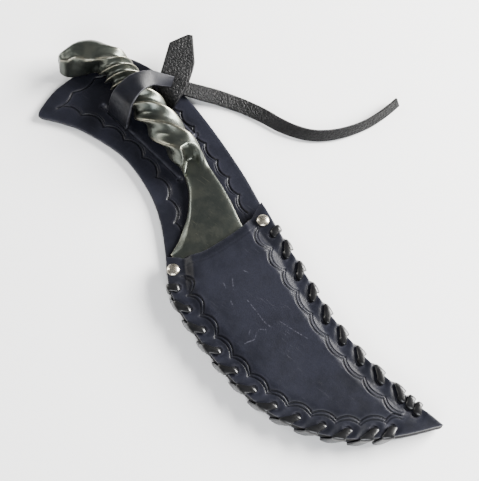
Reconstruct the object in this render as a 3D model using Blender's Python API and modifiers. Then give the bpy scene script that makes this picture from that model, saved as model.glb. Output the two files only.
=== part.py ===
"""One-piece forged knife with a twisted handle, in a laced leather sheath with a strap keeper.

The sheath lies flat on its back: +X runs along it towards the tip, +Y towards its upper side,
+Z up through the leather. Sizes are in millimetres until they are handed to Blender in metres.
"""

import math

import bpy
import bmesh
from mathutils import Matrix, Vector

MM = 0.001
GAP = 0.3

# The middle of the box round the sheath, knife and keeper without its tail, in the points below
ORIGIN = (-8.3, 15.17)

# Leather layers, from the surface up: lace, back panel, welt, front panel, lace
LACE_WIDTH = 3.0
LACE_THICK = 1.2
LACE_INNER_BEND = 0.45
LEATHER = 3.2
BACK_LOW = LACE_THICK + GAP
BACK_TOP = BACK_LOW + LEATHER
WELT_LOW = BACK_TOP + GAP
WELT_TOP = WELT_LOW + LEATHER
FRONT_LOW = WELT_TOP + GAP
FRONT_TOP = FRONT_LOW + LEATHER

# Sheath outline: smooth lines through these points, from the handle end to the tip
UPPER_EDGE = [
    (-145.5, 56.5), (-131.0, 62.0), (-113.7, 63.8), (-90.0, 62.0), (-62.5, 54.8), (-33.0, 44.7),
    (-11.4, 35.4), (9.0, 26.5), (33.0, 17.0), (62.0, 5.5), (90.0, -1.7), (120.5, -5.0), (148.0, -6.0),
]
LOWER_EDGE = [
    (-153.5, -5.3), (-138.0, 1.6), (-123.0, 6.0), (-95.0, 7.8), (-70.0, 1.0), (-51.5, -9.3),
    (-35.2, -23.3), (-15.4, -41.0), (13.0, -51.3), (42.3, -58.0), (73.0, -59.3), (106.9, -47.6),
    (130.8, -27.5), (148.0, -6.0),
]
END_EDGE = [(-153.5, -5.3), (-155.9, 8.0), (-156.0, 18.0), (-153.0, 33.0), (-149.0, 46.0), (-145.5, 56.5)]
MOUTH = [
    (-32.0, -26.2), (-25.2, -21.2), (-19.4, -15.6), (-15.0, -6.5), (-12.0, 3.0), (-9.6, 13.5),
    (-8.9, 22.0), (-10.7, 35.1),
]
CORNER_RADIUS = 4.0
EDGE_STEP = 5.0
TIP_X = 148.0

# Lace holes: distance past the rivet along each edge, and how far in from the edge
HOLE_INSET = 4.75
HOLE_RADIUS = 2.1
HOLE_SIDES = 12
UPPER_FIRST = 9.9
UPPER_PITCH = 14.75
UPPER_COUNT = 9
UPPER_TIP_STEPS = (5.6, 10.8)
LOWER_FIRST = 12.0
LOWER_PITCH = 14.9
LOWER_COUNT = 11
LOWER_TIP_STEPS = (10.0,)

# How much of a stitch's way to the next hole is done at the front edge and at the back edge
LEAN_FRONT = 0.30
LEAN_SIDE = 0.70
LAST_STITCH = 5.0

# Welt between the panels, narrower beside the blade's heel
WELT_WIDTH = 8.4
WELT_HEEL_WIDTH = 6.0
WELT_TAPER = 18.0
WELT_LEAD = 2.9

# Rivets at the mouth's corners
RIVETS = {"lower": (-22.9, -30.1), "upper": (-2.1, 25.5)}
RIVET_CAP_RADIUS = 3.65
RIVET_CAP_RISE = 1.9
RIVET_FOOT_RADIUS = 3.4
RIVET_FOOT = 0.9
RIVET_POST_RADIUS = 1.25
RIVET_SOCKET_DEPTH = 0.9

# Front panel: how far it is raised over the blade
DOME_MOUTH = 3.9
DOME_TIP = 0.9
DOME_START = 7.1
DOME_END = 11.2
DOME_RIVET = 4.5
DOME_RIVET_REACH = 18.0

# Belt slits, and the keeper that leaves the lower one
SLIT_LOWER = ((-125.9, 25.6), (-58.8, 17.8))
SLIT_UPPER = ((-106.5, 51.6), (-70.0, 46.2))
SLIT_WIDTH = 1.2
SLIT_END_RADIUS = 1.7
KEEPER_SLIT = 3.2
KEEPER_THICK = 2.4
KEEPER_WIDTH = 16.6
KEEPER_ROOT = (-112.8, 24.2, BACK_TOP + GAP + KEEPER_THICK / 2)
KEEPER_PIVOT = (-113.0, 25.9, 10.4)
TAG_SLIT = 4.4
TAG_THICK = 2.6
TAG_FOOT_WIDTH = 13.0

# Handle: a square bar, twisted tighter towards the head
HANDLE_START = (-141.0, 47.9)
HANDLE_END = (-60.0, 28.8)
HANDLE_Z = 15.3
HANDLE_HALF = 8.0
HANDLE_POWER = 5.0
HEAD_POWER = 2.8
HANDLE_SWELL = 0.02
TWIST_SLOW = 2.5
TWIST_FAST = 6.5
TWIST_FADE = 14.0
RING = 20
BAR_RINGS = 32
NECK_LENGTH = 8.0
NECK_RINGS = 5

# Blade: spine, the swell down to the heel, and the cutting edge, in plan
SPINE = [
    (-57.4, 35.6), (-44.0, 31.4), (-31.8, 27.0), (-21.5, 22.3), (-9.5, 16.3), (10.0, 10.0),
    (30.0, 4.0), (60.0, -5.0), (90.0, -13.3), (110.0, -18.5), (122.0, -22.0),
]
SWELL = [
    (-57.2, 20.0), (-49.0, 14.2), (-42.4, 6.4), (-38.0, -0.6), (-34.6, -9.1), (-32.7, -14.7),
    (-31.1, -22.8),
]
CUTTING = [
    (-31.1, -22.8), (-12.0, -29.2), (6.0, -34.6), (25.0, -39.3), (45.0, -43.0), (65.0, -44.0),
    (85.0, -41.0), (104.0, -34.0), (116.0, -27.0), (122.0, -22.0),
]
BLADE_THICK = 4.4
BLADE_TIP_THICK = 2.2
BLADE_TIP_X = 122.0
HEEL_SPINE_X = -15.0
SPINE_LEVEL = (7.0, 0.0165)
EDGE_LEVEL = (6.35, 0.0065)
EDGE_THICK = 0.7
SECTION_POWER = 3.2

# The free tail of the keeper, from under the tag out over the surface the sheath lies on
TAIL_RADIUS = 2.2
TAIL_ROUTE = [
    (-98.6, 62.6, 9.3), (-95.0, 64.7, 8.4), (-90.0, 67.5, 6.9), (-84.0, 70.9, 5.0),
    (-76.0, 75.0, 3.3), (-64.2, 79.2, 2.4), (-55.0, 81.3, 2.3), (-45.8, 82.7, 2.3),
    (-36.0, 83.6, 2.3), (-26.7, 85.6, 2.3), (-18.0, 89.0, 2.3), (-10.5, 94.2, 2.3),
    (-3.5, 101.6, 2.3), (2.2, 110.4, 2.3), (5.8, 118.0, 2.3), (8.3, 126.0, 2.3),
    (9.9, 133.5, 2.3), (11.0, 141.0, 2.3),
]
TAIL_SAMPLES = 4


# ---------------------------------------------------------------- lines

def smooth_line(points, samples):
    """Points on a smooth curve through the given points, with this many steps between each two."""
    knots = [Vector(p) for p in points]
    line = []
    for i in range(len(knots) - 1):
        before = knots[i - 1] if i else knots[0] * 2 - knots[1]
        after = knots[i + 2] if i + 2 < len(knots) else knots[-1] * 2 - knots[-2]
        start, end = knots[i], knots[i + 1]
        for j in range(samples):
            t = j / samples
            line.append(0.5 * (
                2 * start
                + (end - before) * t
                + (2 * before - 5 * start + 4 * end - after) * t ** 2
                + (3 * start - before - 3 * end + after) * t ** 3
            ))
    line.append(knots[-1])
    return line


def line_length(line):
    return sum((b - a).length for a, b in zip(line, line[1:]))


def point_at(line, distance):
    """The point at this distance along a line, and the line's direction there."""
    left = distance
    for a, b in zip(line, line[1:]):
        step = (b - a).length
        if left <= step:
            return a.lerp(b, left / step), (b - a).normalized()
        left -= step
    return line[-1].copy(), (line[-1] - line[-2]).normalized()


def nearest(line, point):
    """How far a point is from a line, and how far along the line its nearest point lies."""
    target = Vector(point)
    best = (1e9, 0.0)
    walked = 0.0
    for a, b in zip(line, line[1:]):
        run = b - a
        t = min(1.0, max(0.0, (target - a).dot(run) / run.length_squared))
        best = min(best, ((a.lerp(b, t) - target).length, walked + t * run.length))
        walked += run.length
    return best


def nearest_distance(line, point):
    return nearest(line, point)[1]


def evenly(line, start, end, step):
    """Points along a line from one distance to another, about this far apart."""
    count = max(1, round((end - start) / step))
    return [point_at(line, start + (end - start) * i / count)[0] for i in range(count + 1)]


def rounded_corner(before, corner, after, radius):
    """A corner cut back by the radius and turned with a short curve."""
    corner = Vector(corner)
    start = corner + (Vector(before) - corner).normalized() * radius
    end = corner + (Vector(after) - corner).normalized() * radius
    middle = (start + corner * 2 + end) / 4
    return [start, (start + middle) / 2 + (corner - middle) * 0.12, middle,
            (end + middle) / 2 + (corner - middle) * 0.12, end]


def side_of(direction, upper):
    """The way out of the sheath across an edge that runs in this direction."""
    left = Vector((-direction.y, direction.x))
    return left if upper else -left


UPPER = smooth_line(UPPER_EDGE, 12)
LOWER = smooth_line(LOWER_EDGE, 12)
END = smooth_line(END_EDGE, 4)
MOUTH_LINE = smooth_line(MOUTH, 6)
UPPER_LENGTH = line_length(UPPER)
LOWER_LENGTH = line_length(LOWER)
UPPER_MOUTH = nearest_distance(UPPER, MOUTH[-1])
LOWER_MOUTH = nearest_distance(LOWER, MOUTH[0])


def lace_holes(upper):
    """Distance along the edge, centre, direction and way out of each lace hole on one side."""
    line = UPPER if upper else LOWER
    rivet = RIVETS["upper" if upper else "lower"]
    first = UPPER_FIRST if upper else LOWER_FIRST
    pitch = UPPER_PITCH if upper else LOWER_PITCH
    count = UPPER_COUNT if upper else LOWER_COUNT
    tip_steps = UPPER_TIP_STEPS if upper else LOWER_TIP_STEPS
    start = nearest_distance(line, rivet) + first
    distances = [start + pitch * i for i in range(count)]
    distances += [distances[-1] + step for step in tip_steps]
    holes = []
    for distance in distances:
        point, direction = point_at(line, distance)
        out = side_of(direction, upper)
        holes.append((distance, point - out * HOLE_INSET, direction, out))
    return holes


UPPER_HOLES = lace_holes(True)
LOWER_HOLES = lace_holes(False)


def circle_points(centre, radius, sides):
    return [
        Vector((centre[0] + radius * math.cos(2 * math.pi * i / sides),
                centre[1] + radius * math.sin(2 * math.pi * i / sides)))
        for i in range(sides)
    ]


def slot_points(start, end, width):
    """A narrow rectangle round the line from start to end."""
    a, b = Vector(start), Vector(end)
    run = (b - a).normalized()
    side = Vector((-run.y, run.x)) * (width / 2)
    return [a + side, a - side, b - side, b + side]


# ---------------------------------------------------------------- Blender helpers

def clear_scene():
    for item in list(bpy.data.objects):
        bpy.data.objects.remove(item, do_unlink=True)


def collection(name):
    group = bpy.data.collections.new(name)
    bpy.context.scene.collection.children.link(group)
    return group


def material(name, colour, roughness, metallic=0.0):
    finish = bpy.data.materials.new(name)
    finish.use_nodes = True
    shader = finish.node_tree.nodes["Principled BSDF"]
    shader.inputs["Base Color"].default_value = (*colour, 1.0)
    shader.inputs["Roughness"].default_value = roughness
    shader.inputs["Metallic"].default_value = metallic
    return finish


def add_object(name, data, group, finish=None):
    item = bpy.data.objects.new(name, data)
    group.objects.link(item)
    if finish:
        data.materials.append(finish)
    return item


def mesh_object(name, build, group, finish=None):
    """A mesh object in metres from a bmesh in millimetres."""
    bmesh.ops.recalc_face_normals(build, faces=build.faces)
    bmesh.ops.scale(build, vec=(MM, MM, MM), verts=build.verts)
    data = bpy.data.meshes.new(name)
    build.to_mesh(data)
    build.free()
    return add_object(name, data, group, finish)


def curve_to_mesh(item, group, finish):
    """Turn a curve object into a closed mesh object of the same name."""
    bpy.context.view_layer.update()
    name = item.name
    evaluated = item.evaluated_get(bpy.context.evaluated_depsgraph_get())
    data = bpy.data.meshes.new_from_object(evaluated)
    place = item.matrix_world.copy()
    curve = item.data
    bpy.data.objects.remove(item, do_unlink=True)
    bpy.data.curves.remove(curve)
    build = bmesh.new()
    build.from_mesh(data)
    bmesh.ops.remove_doubles(build, verts=build.verts, dist=0.00001)
    bmesh.ops.recalc_face_normals(build, faces=build.faces)
    build.to_mesh(data)
    build.free()
    data.materials.clear()
    result = add_object(name, data, group, finish)
    result.matrix_world = place
    return result


def flat_sheet(name, loops, low, high, group, finish):
    """A flat sheet between two heights: the first loop is its outline, the others are openings."""
    curve = bpy.data.curves.new(name, "CURVE")
    curve.dimensions = "2D"
    curve.fill_mode = "BOTH"
    curve.extrude = (high - low) / 2 * MM
    for loop in loops:
        spline = curve.splines.new("POLY")
        spline.points.add(len(loop) - 1)
        for point, place in zip(spline.points, loop):
            point.co = (place.x * MM, place.y * MM, 0.0, 1.0)
        spline.use_cyclic_u = True
    item = add_object(name, curve, group)
    item.location.z = (low + high) / 2 * MM
    return curve_to_mesh(item, group, finish)


def skin(rings, closed_ends=True):
    """A bmesh through rings of points, all with the same count, closed at both ends."""
    build = bmesh.new()
    loops = [[build.verts.new(point) for point in ring] for ring in rings]
    count = len(loops[0])
    for ring, after in zip(loops, loops[1:]):
        for i in range(count):
            j = (i + 1) % count
            build.faces.new((ring[i], ring[j], after[j], after[i]))
    if closed_ends:
        build.faces.new(loops[0])
        build.faces.new(loops[-1])
    return build


def ribbon(stations):
    """Rings of a flat strip. Each station is a centre, the way its width runs, width, thickness."""
    rings = []
    last = len(stations) - 1
    for i, (centre, across, width, thick) in enumerate(stations):
        ahead = stations[min(i + 1, last)][0]
        behind = stations[max(i - 1, 0)][0]
        along = (Vector(ahead) - Vector(behind)).normalized()
        side = Vector(across)
        side = (side - along * side.dot(along)).normalized()
        face = along.cross(side)
        half_width = side * (width / 2)
        half_thick = face * (thick / 2)
        centre = Vector(centre)
        rings.append([centre + half_width + half_thick, centre - half_width + half_thick,
                      centre - half_width - half_thick, centre + half_width - half_thick])
    return rings


def smooth_stations(stations, samples):
    """More stations between the given ones, on smooth curves through all their values."""
    columns = []
    for values in zip(*[(*c, *a, w, t) for c, a, w, t in stations]):
        columns.append([p.x for p in smooth_line([(v, 0.0) for v in values], samples)])
    return [((r[0], r[1], r[2]), (r[3], r[4], r[5]), r[6], r[7]) for r in zip(*columns)]


def cylinder(name, centre, radius, low, high, sides, group, finish=None):
    build = bmesh.new()
    bmesh.ops.create_cone(
        build, cap_ends=True, segments=sides, radius1=radius, radius2=radius, depth=high - low,
        matrix=Matrix.Translation((centre[0], centre[1], (low + high) / 2)))
    return mesh_object(name, build, group, finish)


def boolean(item, tool, operation):
    cut = item.modifiers.new(tool.name, "BOOLEAN")
    cut.operation = operation
    cut.solver = "EXACT"
    cut.object = tool


def as_cutter(item):
    item.hide_render = True
    item.display_type = "WIRE"
    return item


# ---------------------------------------------------------------- sheath

def sheath_outline():
    """The whole sheath in plan, starting at the tip and running back along the upper edge."""
    upper = evenly(UPPER, CORNER_RADIUS, UPPER_LENGTH, EDGE_STEP)
    lower = evenly(LOWER, CORNER_RADIUS, LOWER_LENGTH, EDGE_STEP)
    end = evenly(END, CORNER_RADIUS, line_length(END) - CORNER_RADIUS, EDGE_STEP)
    top_corner = rounded_corner(upper[0], UPPER[0], end[-1], CORNER_RADIUS)
    low_corner = rounded_corner(end[0], LOWER[0], lower[0], CORNER_RADIUS)
    back = list(reversed(upper))
    return back[:-1] + top_corner + list(reversed(end))[1:-1] + low_corner + lower[1:-1]


def hole_loops():
    loops = [circle_points(centre, HOLE_RADIUS, HOLE_SIDES)
             for _, centre, _, _ in UPPER_HOLES + LOWER_HOLES]
    loops += [circle_points(centre, RIVET_POST_RADIUS + GAP, HOLE_SIDES)
              for centre in RIVETS.values()]
    return loops


def back_panel(group, finish):
    return flat_sheet("back_panel", [sheath_outline()] + hole_loops(), BACK_LOW, BACK_TOP, group, finish)


def cut_slits(panel, cutters):
    """The two belt slits, opened where the keeper's strap and tag pass, with punched ends."""
    low, high = BACK_LOW - 1.0, BACK_TOP + 1.0
    a, b = (Vector(p) for p in SLIT_LOWER)
    run = (b - a).normalized()
    root = Vector(KEEPER_ROOT[:2])
    half = KEEPER_WIDTH / 2 + GAP
    c, d = (Vector(p) for p in SLIT_UPPER)
    tag_run = (d - c).normalized()
    foot = tag_foot_centre()
    tag_half = TAG_FOOT_WIDTH / 2 + 2 * GAP
    cuts = [
        ("lower_slit_cut", slot_points(a, b, SLIT_WIDTH)),
        ("keeper_slit_cut", slot_points(root - run * half, root + run * half, KEEPER_SLIT)),
        ("upper_slit_cut", slot_points(c, d, SLIT_WIDTH)),
        ("tag_slit_cut", slot_points(foot - tag_run * tag_half, foot + tag_run * tag_half, TAG_SLIT)),
    ]
    for name, loop in cuts:
        boolean(panel, as_cutter(flat_sheet(name, [loop], low, high, cutters, None)), "DIFFERENCE")
    for i, centre in enumerate(SLIT_LOWER + SLIT_UPPER[1:]):
        hole = cylinder(f"slit_end_cut_{i}", centre, SLIT_END_RADIUS, low, high, HOLE_SIDES, cutters)
        boolean(panel, as_cutter(hole), "DIFFERENCE")


def tag_foot_centre():
    """Where the tag stands in the upper slit."""
    c, d = (Vector(p) for p in SLIT_UPPER)
    return point_at([c, d], 9.6)[0]


def welt_inner(upper):
    """The welt's inner edge on one side, from the mouth towards the tip."""
    line = UPPER if upper else LOWER
    length = UPPER_LENGTH if upper else LOWER_LENGTH
    rivet = nearest_distance(line, RIVETS["upper" if upper else "lower"])
    start = rivet - WELT_LEAD
    points = []
    count = round((length - start) / EDGE_STEP)
    for i in range(count + 1):
        distance = start + (length - start) * i / count
        point, direction = point_at(line, distance)
        grown = min(1.0, (distance - start) / WELT_TAPER)
        width = WELT_WIDTH if upper else WELT_HEEL_WIDTH + (WELT_WIDTH - WELT_HEEL_WIDTH) * grown
        points.append(point - side_of(direction, upper) * width)
    return points


def welt(group, finish):
    """A U of leather round the pocket, which keeps the edge off the lace."""
    upper_start = nearest_distance(UPPER, RIVETS["upper"]) - WELT_LEAD
    lower_start = nearest_distance(LOWER, RIVETS["lower"]) - WELT_LEAD
    outer_upper = evenly(UPPER, upper_start, UPPER_LENGTH, EDGE_STEP)
    outer_lower = evenly(LOWER, lower_start, LOWER_LENGTH, EDGE_STEP)
    inner_upper = welt_inner(True)
    inner_lower = welt_inner(False)
    meeting = min(
        ((a - b).length, i, j)
        for i, a in enumerate(inner_upper) for j, b in enumerate(inner_lower)
        if a.x < TIP_X - WELT_WIDTH)
    inner = inner_upper[:meeting[1]] + list(reversed(inner_lower[:meeting[2]]))
    outline = outer_lower + list(reversed(outer_upper[:-1])) + inner
    return flat_sheet("welt", [outline] + hole_loops(), WELT_LOW, WELT_TOP, group, finish)


def dome_rise(place):
    """How far the front panel stands up over the blade; it stays flat round the laces and rivets."""
    edge_distance = min(nearest(UPPER, place)[0], nearest(LOWER, place)[0])
    rivet_distance = min((place - Vector(centre)).length for centre in RIVETS.values())
    start = DOME_START + DOME_RIVET * max(0.0, 1.0 - rivet_distance / DOME_RIVET_REACH)
    t = min(1.0, max(0.0, (edge_distance - start) / (DOME_END - DOME_START)))
    length = (place.x - MOUTH[0][0]) / (TIP_X - MOUTH[0][0])
    return (DOME_MOUTH + (DOME_TIP - DOME_MOUTH) * length) * t * t * (3 - 2 * t)


def front_panel_grid(stations=32, middle=5):
    """Rows of points from the lower to the upper edge, from the mouth to near the tip."""
    edge_steps = (0.0, DOME_START / 2, DOME_START, (DOME_START + DOME_END) / 2, DOME_END)
    mouth_length = line_length(MOUTH_LINE)
    rows = []
    for i in range(stations + 1):
        u = i / stations
        low = point_at(LOWER, LOWER_MOUTH + (LOWER_LENGTH - LOWER_MOUTH) * u)[0]
        high = point_at(UPPER, UPPER_MOUTH + (UPPER_LENGTH - UPPER_MOUTH) * u)[0]
        width = max((high - low).length, 1.2)
        shrink = min(1.0, width / (2.6 * DOME_END))
        near = [step * shrink / width for step in edge_steps]
        inner = [near[-1] + (1 - 2 * near[-1]) * j / middle for j in range(1, middle)]
        fractions = near + inner + [1 - v for v in reversed(near)]
        fade = max(0.0, 1.0 - u * 5.0) ** 2
        row = []
        for v in fractions:
            straight = low.lerp(high, v)
            curved = point_at(MOUTH_LINE, mouth_length * v)[0] - MOUTH_LINE[0].lerp(MOUTH_LINE[-1], v)
            place = straight + curved * fade
            row.append(Vector((place.x, place.y, FRONT_LOW + dome_rise(place))))
        rows.append(row)
    return rows


def front_panel(group, cutters, finish):
    """The pocket's front: flat where it is laced, raised over the blade."""
    rows = front_panel_grid()
    build = bmesh.new()
    grid = [[build.verts.new(point) for point in row] for row in rows[:-1]]
    for row, after in zip(grid, grid[1:]):
        for i in range(len(row) - 1):
            build.faces.new((row[i], row[i + 1], after[i + 1], after[i]))
    tip = build.verts.new(rows[-1][0])
    for a, b in zip(grid[-1], grid[-1][1:]):
        build.faces.new((a, b, tip))
    bmesh.ops.recalc_face_normals(build, faces=build.faces)
    build.normal_update()
    if sum(face.normal.z for face in build.faces) < 0:
        bmesh.ops.reverse_faces(build, faces=build.faces)
    bmesh.ops.scale(build, vec=(MM, MM, MM), verts=build.verts)
    data = bpy.data.meshes.new("front_panel")
    build.to_mesh(data)
    build.free()
    panel = add_object("front_panel", data, group, finish)
    thick = panel.modifiers.new("leather", "SOLIDIFY")
    thick.thickness = LEATHER * MM
    thick.offset = 1.0
    for i, loop in enumerate(hole_loops()):
        centre = sum(loop, Vector((0.0, 0.0))) / len(loop)
        radius = (loop[0] - centre).length
        hole = cylinder(f"front_hole_cut_{i}", centre, radius, WELT_LOW, FRONT_TOP + 4.0,
                        HOLE_SIDES, cutters)
        boolean(panel, as_cutter(hole), "DIFFERENCE")
    return panel


# ---------------------------------------------------------------- lacing and rivets

def turned(centre, first, second, radius, step):
    """Centre and outer face direction a third of the way round a bend: 0 start, 1 middle, 2 end.

    The lace arrives facing first and leaves facing second, round this radius.
    """
    angle = math.radians(45.0 * step)
    face = first * math.cos(angle) + second * math.sin(angle)
    return centre + face * radius, face


def bend_rings(point, along, outward, level, reach, faces):
    """Three rings of the lace round one bend, with its pivot this far out and at this level."""
    pivot = Vector((*(point + outward * reach), level))
    run = Vector((*along, 0.0))
    bend = LACE_THICK / 2 + LACE_INNER_BEND
    rings = []
    for step in range(3):
        place, face = turned(pivot, *faces, bend, step)
        rings.append((place, run, face))
    return rings


def stitch(line, hole, upper, to_next):
    """One turn of the lace: up through its hole, out over the front, round the edge and back under.

    Each run leans towards the mouth, and the back run ends in the next hole. A ring of the lace
    lies along the sheath's edge all the way: its centre, that direction and its outer face.
    """
    distance, centre, direction, out = hole
    half = LACE_THICK / 2
    bend = half + LACE_INNER_BEND
    low, high = half + bend, FRONT_TOP + GAP + half - bend
    edge_reach = half + GAP - bend
    up = Vector((0.0, 0.0, 1.0))
    over, over_dir = point_at(line, distance - to_next * LEAN_FRONT)
    under, under_dir = point_at(line, distance - to_next * LEAN_SIDE)
    after, after_dir = point_at(line, distance - to_next)
    over_out, under_out, after_out = (side_of(d, upper) for d in (over_dir, under_dir, after_dir))
    next_hole = after - after_out * HOLE_INSET
    places = bend_rings(centre, direction, out, high, bend, (-out.to_3d(), up))
    places += bend_rings(over, over_dir, over_out, high, edge_reach, (up, over_out.to_3d()))
    places += bend_rings(under, under_dir, under_out, low, edge_reach, (under_out.to_3d(), -up))
    places += bend_rings(next_hole, after_dir, after_out, low, bend, (-up, -after_out.to_3d()))
    return places


def lace_ring(place, along, face):
    wide = along.normalized() * (LACE_WIDTH / 2)
    thick = face * (LACE_THICK / 2)
    return [place + wide + thick, place - wide + thick, place - wide - thick, place + wide - thick]


def edge_lace(name, upper, group, finish):
    """The whip stitch along one side, worked from the tip to the mouth."""
    line = UPPER if upper else LOWER
    holes = list(reversed(UPPER_HOLES if upper else LOWER_HOLES))
    _, centre, direction, out = holes[0]
    tucked = Vector((centre.x, centre.y, BACK_LOW))
    places = [(tucked, Vector((*direction, 0.0)), -Vector((*out, 0.0)))]
    for hole, after in zip(holes, holes[1:]):
        places += stitch(line, hole, upper, hole[0] - after[0])
    places += stitch(line, holes[-1], upper, LAST_STITCH)[:-2]
    return mesh_object(name, skin([lace_ring(*place) for place in places]), group, finish)


def rivet(side, centre, group, cutters, finish):
    """A post with a flat foot behind the back panel, and a domed cap on the front one."""
    foot_low = BACK_LOW - GAP - RIVET_FOOT
    post = cylinder(f"rivet_post_{side}", centre, RIVET_POST_RADIUS, foot_low,
                    FRONT_TOP + RIVET_SOCKET_DEPTH, 16, group, finish)
    foot = cylinder(f"rivet_foot_{side}", centre, RIVET_FOOT_RADIUS, foot_low,
                    foot_low + RIVET_FOOT, 20, cutters)
    boolean(post, as_cutter(foot), "UNION")
    profile = [
        (RIVET_CAP_RADIUS * math.cos(a), 0.5 + (RIVET_CAP_RISE - 0.5) * math.sin(a))
        for a in [math.radians(v) for v in (0, 18, 36, 54, 72)]
    ]
    profile = [(RIVET_CAP_RADIUS, 0.0)] + profile
    rings = []
    for radius, height in profile:
        rings.append([Vector((p.x, p.y, FRONT_TOP + GAP + height))
                      for p in circle_points(centre, radius, 20)])
    cap = mesh_object(f"rivet_cap_{side}", skin(rings), group, finish)
    socket = cylinder(f"rivet_socket_{side}", centre, RIVET_POST_RADIUS + GAP, FRONT_TOP - 1.0,
                      FRONT_TOP + GAP + RIVET_SOCKET_DEPTH, 16, cutters)
    boolean(cap, as_cutter(socket), "DIFFERENCE")


# ---------------------------------------------------------------- knife

def unit_section(angle, power):
    """A point on a rounded square with a half side of 1."""
    c, s = math.cos(angle), math.sin(angle)
    reach = (abs(c) ** power + abs(s) ** power) ** (-1.0 / power)
    return c * reach, s * reach


def twist_angle(s):
    """How far the bar has turned, in radians, this far from the head: a left-hand twist."""
    turned = TWIST_SLOW * s + TWIST_FAST * TWIST_FADE * (1 - math.exp(-s / TWIST_FADE))
    return -math.radians(turned)


def ring_at(centre, across, half_width, half_height, turn, power, spin=0.0):
    """A section ring: across is its width direction in plan, turn the twist, spin the start angle."""
    side = Vector((across[0], across[1], 0.0)).normalized()
    up = Vector((0.0, 0.0, 1.0))
    ring = []
    for k in range(RING):
        c, s = unit_section(2 * math.pi * k / RING + spin, power)
        x = c * half_width
        y = s * half_height
        ring.append(Vector(centre) + side * (x * math.cos(turn) - y * math.sin(turn))
                    + up * (x * math.sin(turn) + y * math.cos(turn)))
    return ring


# Head of the bar, hooked over to one side: centre, width direction, half width, half height
HEAD = [
    ((-158.6, 20.8, 12.5), (-0.80, -0.60), 1.6, 4.5),
    ((-159.6, 23.2, 13.4), (-0.92, -0.38), 3.4, 7.4),
    ((-159.6, 28.2, 14.6), (-0.99, 0.02), 5.0, 9.4),
    ((-157.8, 34.2, 15.4), (-0.93, 0.36), 6.6, 10.2),
    ((-154.0, 40.2, 15.6), (-0.78, 0.62), 7.8, 10.2),
    ((-149.0, 44.6, 15.5), (-0.46, 0.89), 8.4, 9.8),
    ((-144.6, 47.0, 15.4), (-0.08, 1.0), 8.6, 9.2),
]


def blade_stations():
    """Pairs of spine and edge points from the handle to near the tip."""
    spine = smooth_line(SPINE, 8)
    heel_at = min(range(len(spine)), key=lambda i: abs(spine[i].x - HEEL_SPINE_X))
    before, after = spine[:heel_at + 1], spine[heel_at:]
    swell = smooth_line(SWELL, 8)
    cutting = smooth_line(CUTTING, 8)
    pairs = []
    for a, b, count in ((before, swell, 12), (after, cutting, 16)):
        for i in range(count):
            t = i / count
            pairs.append((point_at(a, line_length(a) * t)[0], point_at(b, line_length(b) * t)[0]))
    pairs.append((point_at(after, line_length(after) * 0.99)[0],
                  point_at(cutting, line_length(cutting) * 0.99)[0]))
    return pairs


def blade_ring(spine, edge, spin):
    """A blade section: thick at the spine, thin at the edge, on the blade's sloping plane."""
    gone = BLADE_TIP_X - (spine.x + edge.x) / 2
    share = min(1.0, gone / 180.0)
    thick = BLADE_TIP_THICK + (BLADE_THICK - BLADE_TIP_THICK) * share
    spine_z = SPINE_LEVEL[0] + SPINE_LEVEL[1] * (BLADE_TIP_X - spine.x)
    edge_z = EDGE_LEVEL[0] + EDGE_LEVEL[1] * (BLADE_TIP_X - edge.x)
    middle = (Vector((*spine, spine_z)) + Vector((*edge, edge_z))) / 2
    side = (Vector((*spine, spine_z)) - Vector((*edge, edge_z))) / 2
    ring = []
    for k in range(RING):
        c, s = unit_section(2 * math.pi * k / RING + spin, SECTION_POWER)
        taper = min(1.0, (1.0 + c) / 0.55)
        height = (EDGE_THICK + (thick - EDGE_THICK) * taper) / 2
        ring.append(middle + side * c + Vector((0.0, 0.0, s * height)))
    return ring


def knife(group, finish):
    """Head, twisted bar and blade in one forged piece."""
    start, end = Vector(HANDLE_START), Vector(HANDLE_END)
    axis = (end - start).normalized()
    across = Vector((-axis.y, axis.x))
    length = (end - start).length
    final = twist_angle(length)
    rings = []
    for centre, side, half_width, half_height in HEAD:
        rings.append(ring_at(centre, side, half_width, half_height, 0.0, HEAD_POWER))

    def bar_ring(s):
        place = start + axis * s
        half = HANDLE_HALF * (1.0 + HANDLE_SWELL * math.sin(math.pi * min(1.0, s / length)))
        return ring_at((place.x, place.y, HANDLE_Z), across, half, half, twist_angle(s), HANDLE_POWER)

    bar_end = length - NECK_LENGTH
    rings += [bar_ring(bar_end * (i / BAR_RINGS) ** 1.25) for i in range(BAR_RINGS + 1)]
    pairs = blade_stations()
    blade_start = blade_ring(*pairs[0], final)
    blade_at = (pairs[0][0].lerp(pairs[0][1], 0.5) - start).dot(axis)
    for i in range(1, NECK_RINGS):
        t = i / NECK_RINGS
        s = bar_end + (blade_at - bar_end) * t
        back = Vector((*(axis * (s - blade_at)), 0.0))
        rings.append([a.lerp(b + back, t * t * (3 - 2 * t)) for a, b in zip(bar_ring(s), blade_start)])
    for spine, edge in pairs:
        rings.append(blade_ring(spine, edge, final))
    return mesh_object("knife", skin(rings), group, finish)


# ---------------------------------------------------------------- keeper

STRAP = [
    (KEEPER_ROOT, (0.993, -0.116, 0.0), 16.6, 2.4),
    ((-113.0, 26.3, 11.0), (0.99, -0.10, 0.0), 16.4, 2.4),
    ((-112.8, 28.4, 17.4), (0.99, 0.0, -0.03), 15.6, 2.4),
    ((-112.0, 31.9, 25.0), (0.99, 0.0, -0.08), 14.0, 2.4),
    ((-110.4, 40.8, 29.3), (0.97, -0.06, -0.15), 12.0, 2.4),
    ((-107.6, 49.8, 26.4), (0.84, -0.20, -0.42), 9.6, 2.4),
    ((-104.2, 55.8, 20.0), (0.62, -0.45, -0.60), 7.6, 2.4),
    ((-101.4, 60.2, 15.2), (0.50, -0.62, -0.60), 6.6, 2.4),
    ((-100.2, 61.8, 12.5), (0.50, -0.62, -0.60), 6.4, 2.4),
]

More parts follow.
